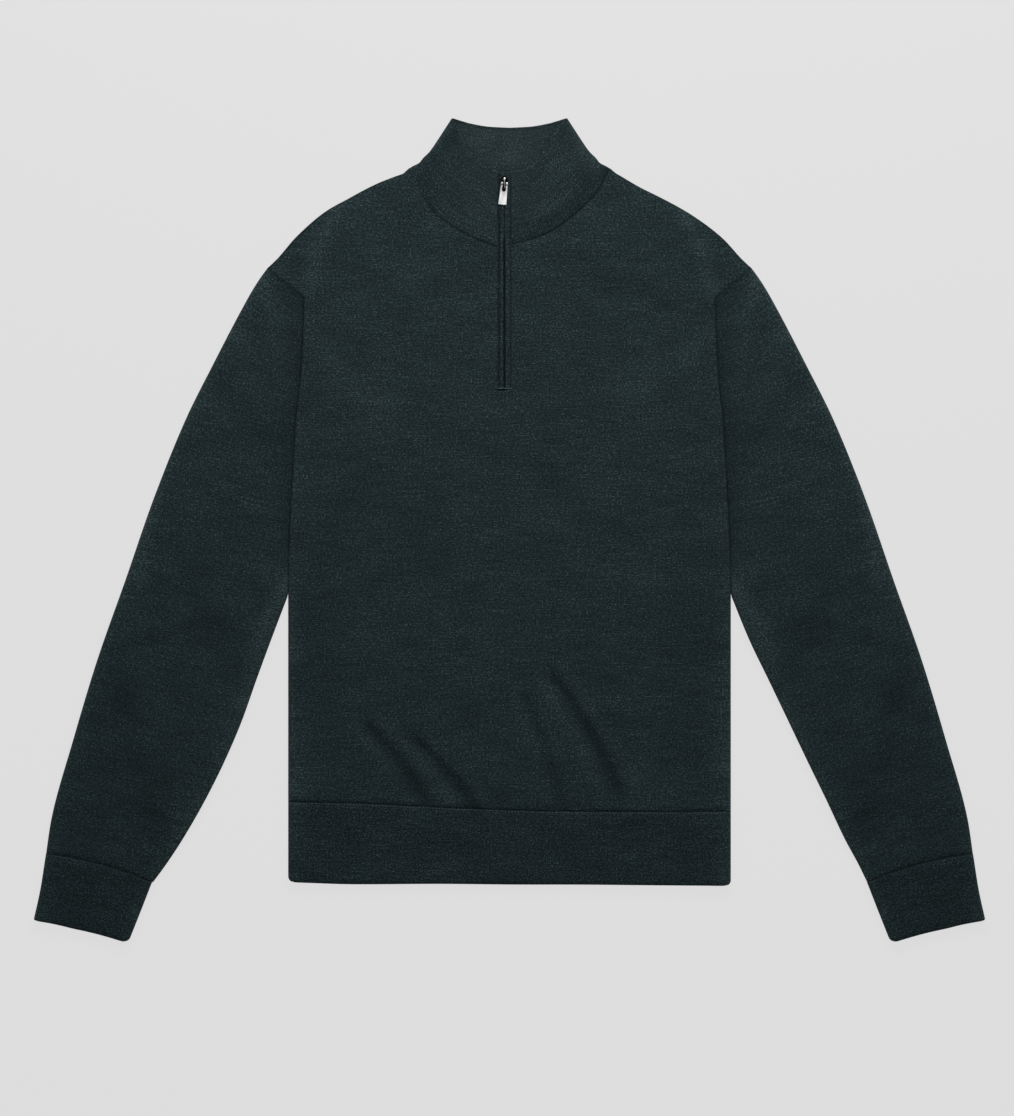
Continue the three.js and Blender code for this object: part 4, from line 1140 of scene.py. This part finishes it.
# Moulded polyester coil, dyed black: smooth and slightly glossy where it shows in the slit
def polyesterCoil():
    material, tree, shader = newMaterial("dyedPolyesterCoil", {"Roughness": 0.6, "Specular IOR Level": 0.12})
    noise = objectNoise(tree, {"Scale": 1800.0})
    tree.links.new(ramp(tree, noise, [(0.3, "#040d0f"), (0.7, "#0c1719")]), shader.inputs["Base Color"])
    return material


finishOf = {"wool_jersey": woolJersey, "double_knit": doubleKnit, "strip_knit": stripKnit}
# The cut of each piece of cloth, all round on a tube: width, length and area in metres
sleeveCut = {"slot": "wool_jersey", "flat": (0.33, 0.62), "area": 0.15, "restsOn": []}
cuffCut = {"slot": "double_knit", "flat": (0.2, 0.065), "area": None, "restsOn": []}
stripCut = {"slot": "strip_knit", "flat": (0.0104, 0.211), "area": None, "restsOn": ["zipChain"]}
panelCut = {"slot": "wool_jersey", "flat": (0.475, 0.632)}
cuts = {
    "frontPanel": {"node": "front", **panelCut, "area": 0.255, "restsOn": ["backPanel"]},
    "backPanel": {"node": "back", **panelCut, "area": 0.262, "restsOn": []},
    "sleeveRight": {"node": "sleeve_right", **sleeveCut},
    "sleeveLeft": {"node": "sleeve_left", **sleeveCut},
    "hemBand": {
        "node": "hem_band",
        "slot": "double_knit",
        "flat": (0.872, 0.074),
        "area": None,
        "restsOn": [],
    },
    "cuffRight": {"node": "cuff_right", **cuffCut},
    "cuffLeft": {"node": "cuff_left", **cuffCut},
    "collarBand": {
        "node": "collar",
        "slot": "double_knit",
        "flat": (0.44, 0.075),
        "area": 0.025,
        "restsOn": ["backPanel"],
    },
    "stripRight": {"node": "zip_strip_right", **stripCut},
    "stripLeft": {"node": "zip_strip_left", **stripCut},
}
for name, piece in panels.items():
    cut = cuts[name]
    finishes = [collarKnit, collarInside] if name == "collarBand" else [finishOf[cut["slot"]]]
    for finish in finishes:
        piece.data.materials.append(finish)
    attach(piece, "garment")
    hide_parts(cut["node"])
print("cloth pieces dressed")


# Stitches: each is a short round thread that arches between two needle holes
sewing = {
    "linking": {"pitch": 3.1, "long": 1.5, "thick": 0.56, "below": 1.0, "arch": 0.25},
    "zipLine": {"pitch": zipper["stitchPitch"], "long": 1.7, "thick": 0.5},
    "barTack": {"pitch": 1.45, "long": 1.9, "thick": 0.6, "up": 486.2, "half": 6.6},
}
threadRings = [(-1, 0.2), (-0.7, 0.85), (0, 1.0), (0.7, 0.85), (1, 0.2)]


def surfaceAt(piece, x, up, below=False):
    start = Vector((x * mm, (up - hemToOrigin) * mm, -0.1 if below else 0.1))
    found, place, _, _ = piece.ray_cast(start, Vector((0, 0, 1 if below else -1)))
    return place.z / mm if found else None


def makeThreads(name, stitches, long, thick, material, arch=0.25, sides=6):
    # stitches are rows of x, up, z and direction in degrees
    points, faces = [], []
    for x, up, z, degrees in stitches:
        run = np.array([math.cos(math.radians(degrees)), math.sin(math.radians(degrees)), 0])
        across = np.array([-run[1], run[0], 0])
        first = len(points)
        for reach, round_ in threadRings:
            middle = np.array([x, up - hemToOrigin, z + arch * (1 - reach ** 2)]) + run * reach * long / 2
            for k in range(sides):
                turn = 2 * math.pi * k / sides
                offset = across * math.cos(turn) + np.array([0, 0, 1]) * math.sin(turn)
                points.append((middle + offset * thick / 2 * round_) * mm)
        for ring in range(len(threadRings) - 1):
            for k in range(sides):
                a, b = first + ring * sides + k, first + ring * sides + (k + 1) % sides
                faces.append((a, a + sides, b + sides, b))
        last = first + (len(threadRings) - 1) * sides
        faces.append(tuple(first + k for k in range(sides)))
        faces.append(tuple(last + k for k in reversed(range(sides))))
    mesh = bpy.data.meshes.new(name)
    mesh.from_pydata(points, [], faces)
    piece = linked(name, mesh)
    pick(piece)
    editAll()
    bpy.ops.mesh.normals_make_consistent(inside=False)
    bpy.ops.object.mode_set(mode="OBJECT")
    shadeSmooth(piece, 60)
    piece.data.materials.append(material)
    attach(piece, "garment")
    print("made", name, "with", len(stitches), "stitches")


def seamStitches(piece, path, pitch, below):
    # stitches along a path of x and up, on a piece's upper or lower face
    path = np.array(path)
    steps = np.hypot(*np.diff(path, axis=0).T)
    along = np.concatenate([[0], np.cumsum(steps)])
    rows = []
    for place in np.arange(pitch / 2, along[-1], pitch):
        x, up = np.interp(place, along, path[:, 0]), np.interp(place, along, path[:, 1])
        ahead = [np.interp(place + 0.5, along, path[:, k]) for k in (0, 1)]
        behind = [np.interp(place - 0.5, along, path[:, k]) for k in (0, 1)]
        degrees = math.degrees(math.atan2(ahead[1] - behind[1], ahead[0] - behind[0]))
        z = surfaceAt(piece, x, up, below)
        if z is not None:
            rows.append((x, up, z, degrees))
    return rows


def linkingStitches(name, piece, path, thread):
    # the same line of stitches above and below
    link = sewing["linking"]
    for below in (False, True):
        rows = seamStitches(piece, path, link["pitch"], below)
        arch = -link["arch"] if below else link["arch"]
        lineName = name + ("Under" if below else "")
        makeThreads(lineName, rows, link["long"], link["thick"], thread, arch)


def hemStitches():
    link = sewing["linking"]
    xs = np.linspace(4 - body["half"], body["half"] - 4, 90)
    path = [(x, float(hemSeam(x)) - link["below"]) for x in xs]
    linkingStitches("hemLinking", panels["hemBand"], path, paleThread)


def cuffStitches(name, side):
    innerEnd, outerEnd = [
        np.array([side * float(outAt(1)), float(upAt(1))])
        for outAt, upAt in (cuffEdge["inner"], cuffEdge["outer"])
    ]
    towardsHand = np.array([side * 0.26, -0.966])
    down = towardsHand * sewing["linking"]["below"]
    path = []
    for part in np.linspace(0.03, 0.97, 40):
        bow = np.array([0, 4 * cloth["cuffBow"] * part * (1 - part)])
        path.append(innerEnd + (outerEnd - innerEnd) * part + bow + down)
    linkingStitches(name + "Linking", panels[name], path, cuffThread)


def zipStitches(name, side):
    line = sewing["zipLine"]
    x = zipper["middle"] + side * (zipper["slit"] / 2 + zipper["stripWidth"] - stripLook[side]["stitchIn"])
    path = [(x, zipper["bottom"] + 1.5), (x, zipper["top"] - 1.5)]
    rows = seamStitches(panels[name], path, line["pitch"], False)
    makeThreads(name + "Stitches", rows, line["long"], line["thick"], darkThread, 0.1)


def barTack():
    tack = sewing["barTack"]
    rows = []
    for x in np.arange(-tack["half"], tack["half"] + 0.1, tack["pitch"]):
        z = surfaceAt(panels["frontPanel"], zipper["middle"] + x, tack["up"])
        rows.append((zipper["middle"] + x, tack["up"], (z or cloth["bodyLoft"]) + 0.1, 8.0))
    makeThreads("barTack", rows, tack["long"], tack["thick"], paleThread, 0.15)


# Spun polyester sewing thread: matte, with the sheen of its twist
def sewingThread(name, dark, light):
    material, tree, shader = newMaterial(name, {"Roughness": 0.8, "Specular IOR Level": 0.15})
    twist = objectNoise(tree, {"Scale": 1500.0, "Detail": 2.0})
    tree.links.new(ramp(tree, twist, [(0.3, dark), (0.7, light)]), shader.inputs["Base Color"])
    addBump(tree, shader, 0.5, 0.05, twist)
    return material


paleThread = sewingThread("paleLinkingYarn", "#435659", "#61757a")
cuffThread = sewingThread("cuffLinkingYarn", "#2b3b3e", "#425458")
darkThread = sewingThread("darkSewingThread", "#031012", "#0b1a1d")
hemStitches()
cuffStitches("cuffRight", -1)
cuffStitches("cuffLeft", 1)
zipStitches("stripRight", -1)
zipStitches("stripLeft", 1)
barTack()


# The slider, its bridge and the pull tab: their solids with softened edges
pullJoint = next(j for j in frame["record"]["behaviour"]["joints"] if j["name"] == "pull_hinge")
pin = Vector(pullJoint["pos_m"])
alongPin = Vector(pullJoint["axis"])
downTab = alongPin.cross(Vector((0, 0, 1))).normalized()
if downTab.y > 0:
    downTab = -downTab
tabShape = {
    "cuts": [1.35, 1.5, 2.0, 2.2],     # how far below the hinge a groove parts the tab from its two eyes
    "grooveTop": -0.5,
    "slopeFall": 0.11,                 # the tab slopes down to its end by this much for each millimetre
    "slotFrom": 5.4,
    "slotLonger": 1.75,
    "slotWider": 1.3,
    "narrower": 0.945,
}
bridgeShape = {
    "lean": 0.105,        # the bridge runs straight up while the tab hangs aslant
    "headWas": -5.2,
    "headAt": -4.4,
    "headSize": 0.6,
    "stemSize": 0.5,
    "bulbRound": (1.2, 1.25, 0.85),
}


def fromPin(co):
    # how far a point lies down the tab from its pin, across it and above it, in millimetres
    away = co - pin
    return away.dot(downTab) / mm, -away.dot(alongPin) / mm, away.z / mm


def placeFromPin(reach, across, above):
    return pin + (downTab * reach - alongPin * across + Vector((0, 0, above))) * mm


def shapeTab(piece):
    bpy.ops.object.mode_set(mode="EDIT")
    for reach in tabShape["cuts"]:
        bpy.ops.mesh.select_all(action="SELECT")
        bpy.ops.mesh.bisect(plane_co=placeFromPin(reach, 0, 0), plane_no=downTab)
    bpy.ops.object.mode_set(mode="OBJECT")
    for vertex in piece.data.vertices:
        reach, across, above = fromPin(vertex.co)
        inGroove = tabShape["cuts"][0] + 0.05 < reach < tabShape["cuts"][-1] - 0.05
        if inGroove and above > 0.1:
            above = tabShape["grooveTop"]
        if reach < 1.2 and abs(across) > 3 and above > 0.3:
            across *= 1 - 0.1 * min(1, above)
        if reach > tabShape["slotFrom"] - 0.1 and abs(across) < 1.7 and reach < 8:
            longer = (reach - tabShape["slotFrom"]) * (tabShape["slotLonger"] - 1)
            reach += longer
            across *= tabShape["slotWider"]
            above -= longer * tabShape["slopeFall"]
        elif reach > tabShape["cuts"][-1] - 0.05 and abs(across) > 2.4:
            across *= tabShape["narrower"]
        vertex.co = placeFromPin(reach, across, above)


def shapeBridge(piece):
    shape = bridgeShape
    for vertex in piece.data.vertices:
        reach, across, above = fromPin(vertex.co)
        if abs(reach) < 0.7:
            continue
        middle = shape["lean"] * reach
        head = 1 - float(smoothStep(reach, -4.6, -3.2))
        size = shape["stemSize"] + (shape["headSize"] - shape["stemSize"]) * head
        headReach = shape["headAt"] + (reach - shape["headWas"]) * shape["headSize"]
        newReach = reach + (headReach - reach) * head
        newAcross = (across - middle) * size + shape["lean"] * newReach
        vertex.co = placeFromPin(newReach, newAcross, above - (0.7 * head if above > 0 else 0))


# painted shade: dark in the groove behind the eyes and on the slot's walls, and a little on the eyes
def paintedShadeOnTab(reach, across, above):
    groove = float(smoothStep(reach, 1.2, 1.4) * (1 - smoothStep(reach, 2.05, 2.3)))
    slotWall = float(abs(across) < 2.2 and 1.0 < reach < 8 and above < -0.12 * reach + 0.2)
    eye = float(1 - smoothStep(reach, 1.1, 1.3))
    return max(0.9 * groove, 0.7 * slotWall, 0.22 * eye)


# painted dark reflection along the bridge's stem
def paintedShadeOnBridge(reach, across, above):
    return 0.85 * float(smoothStep(reach, -3.2, -0.8)) * float(abs(across) < 1)


def softenedNode(node, name, width, segments, material, rider, shaping=None, shadePainting=None):
    piece = frame["nodes"][node].copy()
    piece.data = frame["nodes"][node].data.copy()
    piece.name = name
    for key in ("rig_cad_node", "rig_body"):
        if key in piece:
            del piece[key]
    piece.parent = None
    bpy.context.scene.collection.objects.link(piece)
    pick(piece)
    editAll()
    bpy.ops.mesh.remove_doubles(threshold=0.01 * mm)
    bpy.ops.mesh.dissolve_limited(angle_limit=math.radians(2))
    bpy.ops.object.mode_set(mode="OBJECT")
    if shaping:
        shaping(piece)
    bevel = piece.modifiers.new("softEdges", "BEVEL")
    bevel.width = width * mm
    bevel.segments = segments
    bevel.limit_method = "ANGLE"
    bevel.angle_limit = math.radians(35)
    bpy.ops.object.modifier_apply(modifier=bevel.name)
    # the painted shade and dark reflection go into an attribute that darkens the metal's colour
    if shadePainting:
        values = [shadePainting(*fromPin(vertex.co)) for vertex in piece.data.vertices]
        piece.data.attributes.new("paintedShade", "FLOAT", "POINT").data.foreach_set("value", values)
    shadeSmooth(piece, 35)
    piece.data.materials.clear()
    piece.data.materials.append(material)
    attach(piece, rider)
    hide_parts(node)


darkMetal = gunmetal()
brightMetal = nickel()
coil = polyesterCoil()
softenedNode("slider_body", "sliderBody", 0.12, 2, darkMetal, "garment")
softenedNode("slider_bridge", "sliderBridge", 0.2, 3, brightMetal, "garment",
             shapeBridge, paintedShadeOnBridge)
softenedNode("pull_tab", "pullTab", 0.16, 3, brightMetal, "pull", shapeTab, paintedShadeOnTab)


def bridgeBulb():
    # the round head in which the bridge ends
    middle = placeFromPin(bridgeShape["headAt"], bridgeShape["lean"] * bridgeShape["headAt"], 0.45)
    bpy.ops.mesh.primitive_uv_sphere_add(segments=32, ring_count=16, radius=mm, location=(0, 0, 0))
    bulb = bpy.context.object
    bulb.name = "bridgeBulb"
    for vertex in bulb.data.vertices:
        vertex.co = Vector(a * b for a, b in zip(vertex.co, bridgeShape["bulbRound"])) + middle
    shadeSmooth(bulb, 60)
    bulb.data.materials.append(brightMetal)
    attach(bulb, "garment")


bridgeBulb()
softenedNode("zip_chain", "zipChain", 0.1, 1, coil, "garment")


def zipCoil():
    # the coil's turns lie across the chain, one beside the other
    low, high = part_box("zip_chain")
    first, last = low.y / mm + hemToOrigin + 1, high.y / mm + hemToOrigin - 1
    middle = (low.x + high.x) / 2 / mm
    rows = []
    for k, up in enumerate(np.arange(first, last, zipper["toothPitch"] / 2)):
        rows.append((middle + (0.55 if k % 2 else -0.55), up, high.z / mm - 0.12, 0.0))
    makeThreads("zipCoil", rows, 1.9, 0.55, coil, 0.0)


zipCoil()
print("zip fittings made")

# Floor, light and camera
photo = {"wide": 1014, "high": 1116, "mmPerPixel": 0.98, "centreX": 509.5, "hemY": 884.5}
stage = {
    "floor": "#4e4e4e",
    "floorGlow": 0.685,    # the paper is lit through from below, so it shows hardly any shadow
    "lens": 120.0,
    "sensor": 36.0,
    "sky": 0.26,
    "key": {"place": (0.12, 1.45, 0.95), "size": (1.6, 0.7), "power": 25.6, "colour": (1.0, 0.965, 0.965)},
    "overhead": {"place": (0, -0.5, 4.3), "size": (1.3, 1.3), "power": 15.0},
}


def makeFloor():
    bpy.ops.mesh.primitive_plane_add(size=12, location=(0, 0, -0.0002))
    floor = bpy.context.object
    floor.name = "floor"
    paper = newMaterial("matteStudioPaper", {
        "Base Color": linear(stage["floor"]),
        "Roughness": 1.0,
        "Specular IOR Level": 0.0,
        "Emission Color": (1, 1, 1, 1),
        "Emission Strength": stage["floorGlow"],
    })[0]
    floor.data.materials.append(paper)


def makeSoftbox(name, place, size, power, colour=(1, 1, 1)):
    light = bpy.data.lights.new(name, "AREA")
    light.color = colour
    light.shape = "RECTANGLE"
    light.size, light.size_y = size
    light.energy = power
    lamp = linked(name, light)
    lamp.location = place
    toMiddle = -lamp.location
    lamp.rotation_euler = toMiddle.to_track_quat("-Z", "Y").to_euler()


def makeCamera():
    data = bpy.data.cameras.new("camera")
    data.lens, data.sensor_width = stage["lens"], stage["sensor"]
    camera = linked("camera", data)
    pixel = photo["mmPerPixel"] * mm
    across = (photo["wide"] / 2 - photo["centreX"]) * pixel
    up = (photo["hemY"] - photo["high"] / 2) * pixel - hemToOrigin * mm
    away = photo["high"] * pixel * stage["lens"] / stage["sensor"]
    camera.location = (across, up, away + cloth["bodyLoft"] * mm)
    bpy.context.scene.camera = camera


def makeSky():
    world = bpy.data.worlds.new("studio")
    world.use_nodes = True
    background = world.node_tree.nodes["Background"]
    background.inputs[0].default_value = (1, 1, 1, 1)
    background.inputs[1].default_value = stage["sky"]
    bpy.context.scene.world = world
    bpy.context.scene.view_settings.view_transform = "Standard"


makeFloor()
makeSoftbox("key", **stage["key"])
makeSoftbox("overhead", **stage["overhead"])
makeCamera()
makeSky()
print("stage set")
